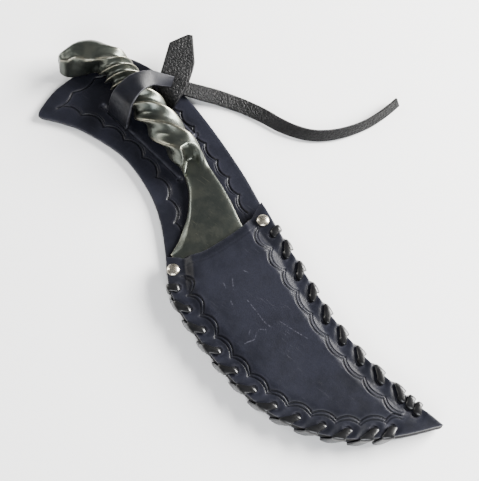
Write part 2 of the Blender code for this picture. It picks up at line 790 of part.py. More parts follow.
# The tag's two edges, from its foot in the upper slit to its obliquely cut end
TAG_LEFT = [
    (-103.6, 50.8, BACK_LOW + 0.5), (-103.9, 51.9, 6.8), (-105.9, 54.6, 11.2), (-109.4, 60.2, 13.9),
    (-113.4, 69.0, 15.2), (-118.3, 79.7, 16.2), (-112.9, 90.0, 17.2),
]
TAG_RIGHT = [
    (-90.8, 48.4, BACK_LOW + 0.5), (-90.9, 49.9, 6.8), (-90.4, 55.0, 11.2), (-91.6, 64.6, 13.9),
    (-94.9, 73.3, 15.2), (-97.7, 79.1, 16.2), (-109.8, 91.8, 17.2),
]


def keeper_strap(group, finish):
    """The strap from the lower slit over the handle and through the tag."""
    stations = smooth_stations(STRAP, 3)
    return mesh_object("keeper_strap", skin(ribbon(stations)), group, finish)


def keeper_tag(group, cutters, finish):
    """The tag that stands in the upper slit; the strap passes through its own slit."""
    lefts = [Vector(point) for point in TAG_LEFT]
    rights = [Vector(point) for point in TAG_RIGHT]
    middles = [(a + b) / 2 for a, b in zip(lefts, rights)]
    rings = []
    for i, (left, right) in enumerate(zip(lefts, rights)):
        along = middles[min(i + 1, len(middles) - 1)] - middles[max(i - 1, 0)]
        thick = (right - left).cross(along).normalized() * (TAG_THICK / 2)
        rings.append([left + thick, right + thick, right - thick, left - thick])
    tag = mesh_object("keeper_tag", skin(rings), group, finish)
    wider = [(c, a, w + 2.4 * GAP, t + 2.4 * GAP) for c, a, w, t in STRAP[-4:]]
    end = Vector(wider[-1][0])
    beyond = end + (end - Vector(wider[-2][0])) * 1.2
    wider.append((tuple(beyond), *wider[-1][1:]))
    slit = mesh_object("tag_slit", skin(ribbon(smooth_stations(wider, 3))), cutters)
    boolean(tag, as_cutter(slit), "DIFFERENCE")
    return tag


def keeper_anchor(group, finish):
    """The strap's thinned end, down through the lower slit and forward behind the panel."""
    x, y, _ = KEEPER_ROOT
    run = Vector((SLIT_LOWER[1][0] - SLIT_LOWER[0][0], SLIT_LOWER[1][1] - SLIT_LOWER[0][1]))
    run.normalize()
    forward = Vector((-run.y, run.x))
    thin = LACE_THICK
    stations = [
        ((x, y, BACK_TOP - 0.1), 0.0, KEEPER_THICK),
        ((x, y, BACK_LOW + 0.4), 0.0, KEEPER_THICK),
        ((x, y, thin / 2 + 0.9), 0.5, thin * 1.1),
        ((x, y, thin / 2), 1.7, thin),
        ((x, y, thin / 2), 20.0, thin),
    ]
    across = (run.x, run.y, 0.0)
    placed = []
    for (px, py, pz), ahead, thick in stations:
        place = Vector((px, py)) + forward * ahead
        placed.append(((place.x, place.y, pz), across, KEEPER_WIDTH - 0.6, thick))
    return mesh_object("keeper_anchor", skin(ribbon(placed)), group, finish)


def keeper_tail(group, finish):
    """The strap's free tail, a plain cord here, lying out beside the sheath."""
    line = smooth_line(TAIL_ROUTE, TAIL_SAMPLES)
    curve = bpy.data.curves.new("keeper_tail", "CURVE")
    curve.dimensions = "3D"
    curve.bevel_depth = TAIL_RADIUS * MM
    curve.bevel_resolution = 2
    curve.use_fill_caps = True
    spline = curve.splines.new("POLY")
    spline.points.add(len(line) - 1)
    for point, place in zip(spline.points, line):
        point.co = (place.x * MM, place.y * MM, place.z * MM, 1.0)
    return curve_to_mesh(add_object("keeper_tail", curve, group), group, finish)


# ---------------------------------------------------------------- assembly

def on_pivot(name, place, items, group):
    """Hang moving pieces on an empty that stands on their joint's axis."""
    pivot = add_object(name, None, group)
    pivot.location = Vector(place) * MM
    bpy.context.view_layer.update()
    for item in items:
        item.parent = pivot
        item.matrix_parent_inverse = pivot.matrix_world.inverted()


def shift_to_origin(groups):
    """Move everything so that the origin is under the middle of the object's box."""
    for group in groups:
        for item in group.objects:
            if not item.parent:
                item.location -= Vector((*ORIGIN, 0.0)) * MM


clear_scene()
SHEATH = collection("sheathed_knife")
CUTTERS = collection("cutters")

black_leather = material("black_leather", (0.030, 0.033, 0.045), 0.45)
keeper_leather = material("keeper_leather", (0.034, 0.037, 0.052), 0.50)
rough_leather = material("rough_leather", (0.020, 0.021, 0.024), 0.80)
waxed_lace = material("waxed_lace", (0.010, 0.010, 0.012), 0.25)
nickel = material("nickel", (0.62, 0.60, 0.56), 0.25, 1.0)
forged_steel = material("forged_steel", (0.16, 0.17, 0.15), 0.38, 0.9)

cut_slits(back_panel(SHEATH, black_leather), CUTTERS)
welt(SHEATH, rough_leather)
front_panel(SHEATH, CUTTERS, black_leather)
edge_lace("edge_lace_upper", True, SHEATH, waxed_lace)
edge_lace("edge_lace_lower", False, SHEATH, waxed_lace)
for side_name, rivet_centre in RIVETS.items():
    rivet(side_name, rivet_centre, SHEATH, CUTTERS, nickel)
blade_and_bar = knife(SHEATH, forged_steel)
keeper_anchor(SHEATH, keeper_leather)
keeper = [
    keeper_strap(SHEATH, keeper_leather),
    keeper_tag(SHEATH, CUTTERS, rough_leather),
    keeper_tail(SHEATH, rough_leather),
]
on_pivot("keeper_hinge", KEEPER_PIVOT, keeper, SHEATH)
on_pivot("knife_slide", (*HANDLE_START, HANDLE_Z), [blade_and_bar], SHEATH)
shift_to_origin([SHEATH, CUTTERS])
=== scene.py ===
import math

import bpy
import numpy as np
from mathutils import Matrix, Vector, noise
from mathutils.geometry import delaunay_2d_cdt
from mathutils.kdtree import KDTree


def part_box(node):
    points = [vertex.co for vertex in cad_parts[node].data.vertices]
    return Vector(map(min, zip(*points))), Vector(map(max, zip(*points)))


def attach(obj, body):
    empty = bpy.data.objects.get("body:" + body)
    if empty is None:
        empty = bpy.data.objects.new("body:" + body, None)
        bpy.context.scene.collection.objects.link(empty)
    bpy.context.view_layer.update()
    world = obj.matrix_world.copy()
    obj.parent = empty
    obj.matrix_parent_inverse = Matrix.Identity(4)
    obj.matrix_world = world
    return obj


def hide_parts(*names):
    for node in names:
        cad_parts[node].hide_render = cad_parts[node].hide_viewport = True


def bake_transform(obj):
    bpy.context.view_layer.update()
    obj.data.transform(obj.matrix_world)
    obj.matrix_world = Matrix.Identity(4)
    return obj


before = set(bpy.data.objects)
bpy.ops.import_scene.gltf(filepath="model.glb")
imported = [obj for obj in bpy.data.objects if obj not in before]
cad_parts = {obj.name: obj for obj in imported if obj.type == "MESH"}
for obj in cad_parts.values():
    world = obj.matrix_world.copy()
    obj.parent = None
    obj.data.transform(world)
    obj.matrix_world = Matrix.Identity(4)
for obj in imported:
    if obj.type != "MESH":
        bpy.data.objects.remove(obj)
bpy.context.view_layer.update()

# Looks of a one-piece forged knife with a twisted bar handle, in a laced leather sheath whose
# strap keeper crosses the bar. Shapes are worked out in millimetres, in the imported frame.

MM = 0.001
UP = np.array([0.0, 0.0, 1.0])


# ---------------------------------------------------------------- sizes read from the frame

def node_box(node):
    low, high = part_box(node)
    return np.array(low) / MM, np.array(high) / MM


BACK_LOW, BACK_TOP = (corner[2] for corner in node_box("back_panel"))
LEATHER = BACK_TOP - BACK_LOW
WELT_LOW, WELT_TOP = (corner[2] for corner in node_box("welt"))
FRONT_LOW = node_box("front_panel")[0][2]
FRONT_TOP = FRONT_LOW + LEATHER
RIVETS = {side: sum(node_box(f"rivet_cap_{side}"))[:2] / 2 for side in ("lower", "upper")}
RIVET_RADIUS = (node_box("rivet_cap_lower")[1] - node_box("rivet_cap_lower")[0])[0] / 2
CAP_LOW, CAP_TOP = (corner[2] for corner in node_box("rivet_cap_lower"))
FOOT_LOW = node_box("rivet_post_lower")[0][2]
FOOT_RADIUS = (node_box("rivet_post_lower")[1] - node_box("rivet_post_lower")[0])[0] / 2
POST_RADIUS = 1.25

# The design's own points are measured from here: the middle of the box lies at the frame's zero
DESIGN_ZERO = np.array([-8.3, 15.17, 0.0])


def placed(points):
    """Points of the design, moved into the frame."""
    return np.array(points, float) - DESIGN_ZERO


# ---------------------------------------------------------------- lines

def smooth(points, samples):
    """Points on a smooth curve through the given ones, with this many steps between each two."""
    knots = np.array(points, float)
    ends = [knots[0] * 2 - knots[1]], [knots[-1] * 2 - knots[-2]]
    p = np.concatenate([ends[0], knots, ends[1]])
    t = np.linspace(0, 1, samples, endpoint=False)[:, None]
    runs = []
    for a, b, c, d in zip(p, p[1:], p[2:], p[3:]):
        runs.append(0.5 * (2 * b + (c - a) * t + (2 * a - 5 * b + 4 * c - d) * t ** 2
                           + (3 * b - a - 3 * c + d) * t ** 3))
    return np.concatenate(runs + [knots[-1:]])


class Line:
    """A line through points, read by the distance along it."""

    def __init__(self, points):
        self.points = np.array(points, float)
        steps = np.linalg.norm(np.diff(self.points, axis=0), axis=1)
        self.marks = np.concatenate([[0.0], np.cumsum(steps)])
        self.length = self.marks[-1]

    def at(self, distance):
        columns = [np.interp(distance, self.marks, column) for column in self.points.T]
        return np.stack(columns, axis=-1)

    def heading(self, distance, reach=0.4):
        low = np.clip(np.asarray(distance) - reach, 0, self.length)
        high = np.clip(np.asarray(distance) + reach, 0, self.length)
        run = self.at(high) - self.at(low)
        return run / np.linalg.norm(run, axis=-1, keepdims=True)

    def nearest(self, places):
        """How far each place is from the line, and how far along the line its nearest point lies."""
        places = np.atleast_2d(places)
        start, run = self.points[:-1], np.diff(self.points, axis=0)
        square = (run ** 2).sum(1)
        far, along = np.empty(len(places)), np.empty(len(places))
        for first in range(0, len(places), 1500):
            part = places[first:first + 1500]
            share = np.clip(((part[:, None] - start) * run).sum(2) / square, 0, 1)
            gap = np.linalg.norm(part[:, None] - start - run * share[..., None], axis=2)
            best = gap.argmin(1)
            row = np.arange(len(part))
            far[first:first + 1500] = gap[row, best]
            along[first:first + 1500] = self.marks[best] + share[row, best] * np.sqrt(square[best])
        return far, along

    def part(self, start, end, step):
        count = max(1, round(abs(end - start) / step))
        return self.at(np.linspace(start, end, count + 1))


def top_outlines(node):
    """The closed outlines, in plan, of the faces of a CAD node that look up; the longest first."""
    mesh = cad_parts[node].data
    places, directed = {}, {}
    for face in mesh.polygons:
        if face.normal.z < 0.3:
            continue
        corners = []
        for i in face.vertices:
            x, y, z = mesh.vertices[i].co
            corner = (round(x / MM, 2), round(y / MM, 2), round(z / MM, 2))
            corners.append(places.setdefault(corner, corner))
        for a, b in zip(corners, corners[1:] + corners[:1]):
            directed[(a, b)] = True
    rim = {a: b for a, b in directed if (b, a) not in directed}
    loops = []
    while rim:
        start = next(iter(rim))
        loop, after = [start], rim.pop(start)
        while after != start and after in rim:
            loop.append(after)
            after = rim.pop(after)
        if len(loop) > 2:
            loops.append(np.array(loop)[:, :2])
    return sorted(loops, key=lambda loop: -np.ptp(loop, axis=0).sum())


def walk(loop, start, end):
    """The points of a closed loop from one index to another, in the loop's own direction."""
    count = (end - start) % len(loop)
    return np.array([loop[(start + i) % len(loop)] for i in range(count + 1)])


# ---------------------------------------------------------------- the sheath's lines

BACK_OUTLINES = top_outlines("back_panel")
FRONT_OUTLINES = top_outlines("front_panel")
outline = BACK_OUTLINES[0]
tip_at = outline[:, 0].argmax()
low_corner = (-outline[:, 0] - outline[:, 1]).argmax()
high_corner = (-outline[:, 0] + outline[:, 1]).argmax()
UPPER = Line(smooth(walk(outline, tip_at, high_corner), 8)[::-1])
LOWER = Line(smooth(walk(outline, low_corner, tip_at), 8))
END = Line(smooth(walk(outline, high_corner, low_corner), 8)[::-1])
front = FRONT_OUTLINES[0]
MOUTH = Line(smooth(walk(front, front[:, 1].argmax(), front[:, 0].argmin()), 6)[::-1])
EARS = {"lower": LOWER.nearest(MOUTH.points[0])[1][0], "upper": UPPER.nearest(MOUTH.points[-1])[1][0]}
HOLE_RADIUS = 2.1


def round_holes():
    """Centres of the lace holes along each edge, in order from the mouth to the tip."""
    found = {"lower": [], "upper": []}
    for loop in BACK_OUTLINES[1:]:
        centre = loop.mean(0)
        spread = np.linalg.norm(loop - centre, axis=1)
        if np.ptp(spread) > 0.1 or abs(spread.mean() - HOLE_RADIUS) > 0.15:
            continue
        far = {"lower": LOWER.nearest(centre), "upper": UPPER.nearest(centre)}
        side = min(far, key=lambda name: far[name][0][0])
        found[side].append((far[side][1][0], tuple(centre)))
    return {side: sorted(holes) for side, holes in found.items()}


HOLES = round_holes()
SLITS = [loop for loop in BACK_OUTLINES[1:] if np.ptp(loop, axis=0).max() > 20]
EDGES = {"lower": LOWER, "upper": UPPER}


def way_out(side, distance):
    """The direction out of the sheath across an edge."""
    run = EDGES[side].heading(distance)
    left = np.stack([-run[..., 1], run[..., 0]], axis=-1)
    return left if side == "upper" else -left


# ---------------------------------------------------------------- camera

CAMERA_AZIMUTH = 39.0
CAMERA_ELEVATION = 69.0
CAMERA_DISTANCE = 0.664
CAMERA_TARGET = (0.0005, -0.0041, 0.0)
CAMERA_LENS = 85.0
CAMERA_SENSOR = 36.0


def aim(obj, place, target):
    obj.location = place
    obj.rotation_mode = "QUATERNION"
    obj.rotation_quaternion = (Vector(target) - Vector(place)).to_track_quat("-Z", "Y")


def make_camera():
    data = bpy.data.cameras.new("viewpoint")
    data.lens = CAMERA_LENS
    data.sensor_width = CAMERA_SENSOR
    data.clip_start = 0.01
    camera = bpy.data.objects.new("viewpoint", data)
    bpy.context.scene.collection.objects.link(camera)
    azimuth, elevation = math.radians(CAMERA_AZIMUTH), math.radians(CAMERA_ELEVATION)
    back = Vector((math.sin(azimuth) * math.cos(elevation),
                   -math.cos(azimuth) * math.cos(elevation), math.sin(elevation)))
    aim(camera, Vector(CAMERA_TARGET) + back * CAMERA_DISTANCE, CAMERA_TARGET)
    bpy.context.scene.camera = camera


make_camera()


# ---------------------------------------------------------------- making meshes

def piece(name, points, faces, finish, body, stands_for=(), marks=None, sharp=None):
    """A smooth-shaded mesh in the frame, with its finish, the body it rides on and its marks."""
    mesh = bpy.data.meshes.new(name)
    mesh.from_pydata([tuple(p) for p in np.array(points, float) * MM], [], [tuple(f) for f in faces])
    mesh.update()
    mesh.shade_smooth()
    if sharp:
        mesh.set_sharp_from_angle(angle=math.radians(sharp))
    for title, values in (marks or {}).items():
        layer = mesh.attributes.new(title, "FLOAT", "POINT")
        layer.data.foreach_set("value", np.array(values, np.float32))
    mesh.materials.append(finish)
    made = bpy.data.objects.new(name, mesh)
    bpy.context.scene.collection.objects.link(made)
    if body:
        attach(made, body)
    if stands_for:
        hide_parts(*stands_for)
    return made


def loft(rings):
    """Points and faces of a closed skin over rings that all have the same count of points."""
    rings = np.array(rings, float)
    rows, count = rings.shape[:2]
    points = rings.reshape(-1, 3)
    faces = []
    for i in range(rows - 1):
        for j in range(count):
            k = (j + 1) % count
            faces.append((i * count + j, i * count + k, (i + 1) * count + k, (i + 1) * count + j))
    last = (rows - 1) * count
    middle = np.stack([rings[0].mean(0), rings[-1].mean(0)])
    points = np.concatenate([points, middle])
    for j in range(count):
        k = (j + 1) % count
        faces.append((k, j, rows * count))
        faces.append((last + j, last + k, rows * count + 1))
    return points, faces


def facing_out(points, faces):
    """The same faces, turned over if the closed skin is inside out."""
    volume = 0.0
    for face in faces:
        a = points[face[0]]
        for b, c in zip(face[1:], face[2:]):
            volume += np.dot(a, np.cross(points[b], points[c]))
    return faces if volume > 0 else [tuple(reversed(face)) for face in faces]


def flat_section(width, thick, corner, count=3):
    """Points round a flat strip's section: across and up, with rounded corners."""
    half_w, half_t = width / 2, thick / 2
    corner = min(corner, half_t * 0.98, half_w * 0.98)
    ring = []
    for cx, cy, start in ((half_w, half_t, 0), (-half_w, half_t, 90), (-half_w, -half_t, 180),
                          (half_w, -half_t, 270)):
        middle = np.array([cx - math.copysign(corner, cx), cy - math.copysign(corner, cy)])
        for i in range(count + 1):
            angle = math.radians(start + 90 * i / count)
            ring.append(middle + corner * np.array([math.cos(angle), math.sin(angle)]))
    return np.array(ring)


def strip_rings(centres, across, sections):
    """Rings of a flat strip along centres; across is the way its width runs at each."""
    centres, across = np.array(centres, float), np.array(across, float)
    along = np.gradient(centres, axis=0)
    along /= np.linalg.norm(along, axis=1, keepdims=True)
    across = across - along * (across * along).sum(1, keepdims=True)
    across /= np.linalg.norm(across, axis=1, keepdims=True)
    face = np.cross(along, across)
    return [c + np.outer(s[:, 0], a) + np.outer(s[:, 1], f)
            for c, a, f, s in zip(centres, across, face, sections)]


def rough(place, scale, depth, seed=0.0):
    """Uneven height at a place, the same each time."""
    return depth * noise.noise(Vector((place[0] * scale + seed, place[1] * scale - seed, place[2] * scale)))


# ---------------------------------------------------------------- finishes

def linear(red, green, blue):
    """A colour given as 0 to 255, as the shader wants it."""
    parts = [(c / 255.0) for c in (red, green, blue)]
    return tuple(c / 12.92 if c <= 0.04045 else ((c + 0.055) / 1.055) ** 2.4 for c in parts) + (1.0,)


def new_group(name, inputs, outputs):
    """An empty node group with these sockets, and its input and output nodes."""
    group = bpy.data.node_groups.new(name, "ShaderNodeTree")
    for title, kind, start in inputs:
        socket = group.interface.new_socket(name=title, in_out="INPUT", socket_type=kind)
        socket.default_value = start
    for title, kind in outputs:
        group.interface.new_socket(name=title, in_out="OUTPUT", socket_type=kind)
    return group, group.nodes.new("NodeGroupInput"), group.nodes.new("NodeGroupOutput")


def node(tree, kind, values=None, **settings):
    made = tree.nodes.new(kind)
    for key, value in settings.items():
        setattr(made, key, value)
    for key, value in (values or {}).items():
        made.inputs[key].default_value = value
    return made


def math_node(tree, operation, first, second=None, clamp=False):
    made = node(tree, "ShaderNodeMath", operation=operation, use_clamp=clamp)
    for socket, value in zip(made.inputs, (first, second)):
        if isinstance(value, (int, float)):
            socket.default_value = value
        elif value is not None:
            tree.links.new(value, socket)
    return made.outputs[0]


def ramp(tree, value, low, high):
    """The value spread from 0 at low to 1 at high, with soft ends."""
    made = node(tree, "ShaderNodeMapRange", {"From Min": low, "From Max": high},
                interpolation_type="SMOOTHSTEP")
    tree.links.new(value, made.inputs["Value"])
    return made.outputs["Result"]


def millimetres(tree, stretch=(1.0, 1.0, 1.0), turn=0.0):
    """Places on the piece in millimetres, turned in plan and stretched."""
    place = node(tree, "ShaderNodeTexCoord").outputs["Object"]
    made = node(tree, "ShaderNodeMapping", {"Scale": tuple(1000.0 * s for s in stretch),
                                            "Rotation": (0.0, 0.0, math.radians(turn))})
    tree.links.new(place, made.inputs["Vector"])
    return made.outputs["Vector"]


def cloud(tree, vector, scale, detail=4.0, roughness=0.55):
    made = node(tree, "ShaderNodeTexNoise", {"Scale": scale, "Detail": detail, "Roughness": roughness})
    tree.links.new(vector, made.inputs["Vector"])
    return made.outputs["Fac"]


def scaled(tree, vector, amount):
    made = node(tree, "ShaderNodeVectorMath", operation="SCALE")
    tree.links.new(vector, made.inputs[0])
    if isinstance(amount, (int, float)):
        made.inputs["Scale"].default_value = amount
    else:
        tree.links.new(amount, made.inputs["Scale"])
    return made.outputs[0]


def make_grain():
    """Pebbled grain: cells with creases between them, and finer tooth on top; the leather finish darkens the
    creases as painted shade.
    """
    tree, entry, leave = new_group("pebble grain", [("Cell", "NodeSocketFloat", 0.9),
                                                    ("Tooth", "NodeSocketFloat", 0.4)],
                                   [("Height", "NodeSocketFloat"), ("Creases", "NodeSocketFloat")])
    place = millimetres(tree)
    bent = node(tree, "ShaderNodeVectorMath", operation="ADD")
    tree.links.new(place, bent.inputs[0])
    wander = node(tree, "ShaderNodeTexNoise", {"Scale": 0.6, "Detail": 2.0})
    tree.links.new(place, wander.inputs["Vector"])
    tree.links.new(wander.outputs["Color"], bent.inputs[1])
    cells = node(tree, "ShaderNodeTexVoronoi", {"Scale": 1.0}, feature="DISTANCE_TO_EDGE")
    tree.links.new(scaled(tree, bent.outputs[0], entry.outputs["Cell"]), cells.inputs["Vector"])
    pebbles = ramp(tree, cells.outputs["Distance"], 0.0, 0.28)
    tooth = math_node(tree, "MULTIPLY", cloud(tree, place, 3.1, 5.0, 0.7), entry.outputs["Tooth"])
    tree.links.new(math_node(tree, "ADD", math_node(tree, "MULTIPLY", pebbles, 0.5), tooth),
                   leave.inputs["Height"])
    tree.links.new(math_node(tree, "SUBTRACT", 1.0, pebbles), leave.inputs["Creases"])
    return tree


def make_mottle():
    """Broad and small patches, where a surface is darker or duller."""
    tree, entry, leave = new_group("patchiness", [("Broad", "NodeSocketFloat", 0.04),
                                                  ("Small", "NodeSocketFloat", 0.5)],
                                   [("Broad", "NodeSocketFloat"), ("Small", "NodeSocketFloat")])
    place = millimetres(tree)
    for title, low, high in (("Broad", 0.36, 0.64), ("Small", 0.38, 0.66)):
        sized = scaled(tree, place, entry.outputs[title])
        tree.links.new(ramp(tree, cloud(tree, sized, 1.0, 5.0, 0.6), low, high), leave.inputs[title])
    return tree


def make_scuffs():
    """Fine scratches in three directions, crowded in some places and absent in others."""
    tree, entry, leave = new_group("scuffs", [("Cover", "NodeSocketFloat", 0.5)],
                                   [("Mask", "NodeSocketFloat")])
    total = None
    for turn, across in ((18.0, 2.6), (-37.0, 1.9), (71.0, 2.3)):
        place = millimetres(tree, (0.07, across, across), turn)
        line = ramp(tree, cloud(tree, place, 1.0, 2.0, 0.5), 0.665, 0.735)
        where = ramp(tree, cloud(tree, millimetres(tree, turn=turn), 0.09, 2.0, 0.5), 0.48, 0.62)
        part = math_node(tree, "MULTIPLY", line, where)
        total = part if total is None else math_node(tree, "MAXIMUM", total, part)
    tree.links.new(math_node(tree, "MULTIPLY", total, entry.outputs["Cover"], True), leave.inputs["Mask"])
    return tree


def make_edge_wear_and_highlight():
    """Where a marked edge is painted lighter, partly as wear and partly as painted highlight, broken up by
    small patches.
    """
    tree, entry, leave = new_group("edge wear and highlight", [("Edge", "NodeSocketFloat", 0.0),
                                                   ("Amount", "NodeSocketFloat", 1.0)],
                                   [("Mask", "NodeSocketFloat")])
    patches = ramp(tree, cloud(tree, millimetres(tree), 0.35, 4.0, 0.6), 0.36, 0.62)
    kept = math_node(tree, "MULTIPLY_ADD", patches, 0.65)
    kept.node.inputs[2].default_value = 0.35
    tree.links.new(math_node(tree, "MULTIPLY", math_node(tree, "MULTIPLY", entry.outputs["Edge"], kept),
                             entry.outputs["Amount"], True), leave.inputs["Mask"])
    return tree


GRAIN, MOTTLE, SCUFFS, EDGE_WEAR_AND_HIGHLIGHT = make_grain(), make_mottle(), make_scuffs(), make_edge_wear_and_highlight()


def placed_group(tree, group, values=None):
    made = tree.nodes.new("ShaderNodeGroup")
    made.node_tree = group
    for key, value in (values or {}).items():
        made.inputs[key].default_value = value
    return made


def mark_of(tree, title):
    return node(tree, "ShaderNodeAttribute", attribute_name=title).outputs["Fac"]


def mixed(tree, share, first, second):
    """One colour passing into another by a share."""
    made = node(tree, "ShaderNodeMix", data_type="RGBA")
    for socket, value in zip((made.inputs[0], made.inputs[6], made.inputs[7]), (share, first, second)):
        if isinstance(value, (int, float, tuple)):
            socket.default_value = value
        else:
            tree.links.new(value, socket)
    return made.outputs[2]


def new_finish(name, **constants):
    made = bpy.data.materials.new(name)
    made.use_nodes = True
    tree = made.node_tree
    shader = tree.nodes["Principled BSDF"]
    for key, value in constants.items():
        shader.inputs[key.replace("_", " ")].default_value = value
    return made, tree, shader


def bumped(tree, shader, layers):
    """Bump layers, one on another: each is a height, its strength and its depth in metres."""
    normal = None
    for height, strength, depth in layers:
        made = node(tree, "ShaderNodeBump", {"Strength": strength, "Distance": depth})
        tree.links.new(height, made.inputs["Height"])
        if normal is not None:
            tree.links.new(normal, made.inputs["Normal"])
        normal = made.outputs["Normal"]
    tree.links.new(normal, shader.inputs["Normal"])


def roughened(tree, shader, base, parts):
    """Roughness from a base and parts that add to it."""
    total = base
    for value, amount in parts:
        total = math_node(tree, "ADD", math_node(tree, "MULTIPLY", value, amount), total, True)
    tree.links.new(total, shader.inputs["Roughness"])


def leather_finish(name, dark, light, wear_and_highlight_colour, base_rough, cell, tooth, depth, gloss=0.24, fuzzy=0.0,
                   flesh_side=True):
    made, tree, shader = new_finish(name, Specular_IOR_Level=gloss, Coat_Roughness=0.32, Sheen_Weight=fuzzy,
                                    Sheen_Roughness=0.6)
    mottle = placed_group(tree, MOTTLE, {"Broad": 0.035, "Small": 0.42})
    grain = placed_group(tree, GRAIN, {"Cell": cell, "Tooth": tooth})
    scuffs = placed_group(tree, SCUFFS, {"Cover": 0.4})
    edge_wear_and_highlight = placed_group(tree, EDGE_WEAR_AND_HIGHLIGHT, {"Amount": 0.45})
    tree.links.new(mark_of(tree, "edge"), edge_wear_and_highlight.inputs["Edge"])
    colour = mixed(tree, mottle.outputs["Broad"], dark, light)
    # Painted shade: the grain's creases are darkened where shade falls between the pebbles.
    crease_shade = math_node(tree, "MULTIPLY", grain.outputs["Creases"], 0.45)
    colour = mixed(tree, crease_shade, colour, tuple(c * 0.45 for c in dark[:3]) + (1.0,))
    # Painted shade: the floors of the tooling grooves are darkened.
    colour = mixed(tree, math_node(tree, "MULTIPLY", mark_of(tree, "groove_shade"), 0.8), colour,
                   tuple(c * 0.25 for c in dark[:3]) + (1.0,))
    broken = ramp(tree, cloud(tree, millimetres(tree), 0.8, 3.0, 0.6), 0.40, 0.62)
    # Lighter tone: real scratches and scuffs, and painted highlight on the lips beside the grooves.
    marks = math_node(tree, "MAXIMUM", math_node(tree, "MULTIPLY", mark_of(tree, "lip_highlight"), 0.13),
                      math_node(tree, "MULTIPLY", mark_of(tree, "scratch"),
                                math_node(tree, "MULTIPLY", broken, 0.75)))
    marks = math_node(tree, "MAXIMUM", marks, math_node(tree, "MULTIPLY", scuffs.outputs["Mask"], 0.5))
    colour = mixed(tree, marks, colour, wear_and_highlight_colour)
    # Lighter along the marked edges and hole rims: painted highlight on the rounded edges, with some edge
    # wear.
    colour = mixed(tree, edge_wear_and_highlight.outputs["Mask"], colour, wear_and_highlight_colour)
    dull = mark_of(tree, "flesh")
    if flesh_side:
        fibres = ramp(tree, cloud(tree, millimetres(tree), 1.4, 6.0, 0.75), 0.35, 0.7)
        flesh = mixed(tree, fibres, linear(10, 10, 11), linear(38, 37, 38))
        colour = mixed(tree, dull, colour, flesh)
    tree.links.new(colour, shader.inputs["Base Color"])
    roughened(tree, shader, base_rough, [(mottle.outputs["Small"], 0.04), (scuffs.outputs["Mask"], 0.12),
                                         (grain.outputs["Creases"], 0.05), (dull, 0.35)])
    worn = math_node(tree, "MULTIPLY", scuffs.outputs["Mask"], -1.0)
    bumped(tree, shader, [(mottle.outputs["Small"], 0.06, 0.0004), (grain.outputs["Height"], 0.55, depth),
                          (worn, 0.5, 0.00008)])
    return made


def lace_finish():
    made, tree, shader = new_finish("waxed black lace", Specular_IOR_Level=0.35, Coat_Weight=0.25,
                                    Coat_Roughness=0.16)
    mottle = placed_group(tree, MOTTLE, {"Broad": 0.22, "Small": 1.6})
    grain = placed_group(tree, GRAIN, {"Cell": 2.2, "Tooth": 0.5})
    colour = mixed(tree, mottle.outputs["Broad"], linear(4, 4, 5), linear(11, 11, 13))
    tree.links.new(colour, shader.inputs["Base Color"])
    roughened(tree, shader, 0.27, [(mottle.outputs["Small"], 0.08), (grain.outputs["Creases"], 0.05)])
    bumped(tree, shader, [(mottle.outputs["Broad"], 0.12, 0.0006), (grain.outputs["Height"], 0.08, 0.00003)])
    return made


def nickel_finish():
    made, tree, shader = new_finish("worn nickel", Metallic=1.0)
    mottle = placed_group(tree, MOTTLE, {"Broad": 0.3, "Small": 1.3})
    scuffs = placed_group(tree, SCUFFS, {"Cover": 1.0})
    colour = mixed(tree, mottle.outputs["Broad"], linear(176, 168, 152), linear(212, 205, 190))
    colour = mixed(tree, math_node(tree, "MULTIPLY", mottle.outputs["Small"], 0.25), colour,
                   linear(112, 100, 84))
    tree.links.new(colour, shader.inputs["Base Color"])
    roughened(tree, shader, 0.22, [(mottle.outputs["Small"], 0.10), (scuffs.outputs["Mask"], 0.2)])
    bumped(tree, shader, [(mottle.outputs["Small"], 0.04, 0.0002), (scuffs.outputs["Mask"], 0.3, 0.00004)])
    return made


def steel_finish():
    """Forged steel: dark scale and brown oil patina, with lighter metal on ridges and bevels that is partly
    wear and partly painted highlight.
    """
    made, tree, shader = new_finish("forged steel")
    mottle = placed_group(tree, MOTTLE, {"Broad": 0.035, "Small": 0.16})
    fine = placed_group(tree, MOTTLE, {"Broad": 0.16, "Small": 1.5})
    scuffs = placed_group(tree, SCUFFS, {"Cover": 1.0})
    edge_wear_and_highlight = placed_group(tree, EDGE_WEAR_AND_HIGHLIGHT, {"Amount": 0.7})
    tree.links.new(mark_of(tree, "ridge_wear_and_highlight"), edge_wear_and_highlight.inputs["Edge"])
    colour = mixed(tree, mottle.outputs["Broad"], linear(80, 85, 81), linear(85, 89, 83))
    colour = mixed(tree, math_node(tree, "MULTIPLY", mottle.outputs["Small"], 0.14), colour,
                   linear(88, 78, 60))
    colour = mixed(tree, math_node(tree, "MULTIPLY", fine.outputs["Small"], 0.10), colour, linear(52, 54, 52))
    # Lighter metal from scuffs and, on the marked ridges, head rim and bevels, partly wear and partly painted
    # highlight.
    bright = math_node(tree, "MAXIMUM", math_node(tree, "MULTIPLY", scuffs.outputs["Mask"], 0.35),
                       edge_wear_and_highlight.outputs["Mask"])
    colour = mixed(tree, bright, colour, linear(150, 145, 128))
    tree.links.new(colour, shader.inputs["Base Color"])
    tree.links.new(math_node(tree, "SUBTRACT", 0.98,
                             math_node(tree, "MULTIPLY", mottle.outputs["Small"], 0.05)),
                   shader.inputs["Metallic"])
    roughened(tree, shader, 0.30, [(mottle.outputs["Small"], 0.02), (fine.outputs["Small"], 0.04),
                                   (edge_wear_and_highlight.outputs["Mask"], -0.06)])
    bumped(tree, shader, [(mottle.outputs["Small"], 0.03, 0.0006), (fine.outputs["Broad"], 0.05, 0.0003),
                          (fine.outputs["Small"], 0.08, 0.00005), (scuffs.outputs["Mask"], 0.25, 0.00003)])
    return made


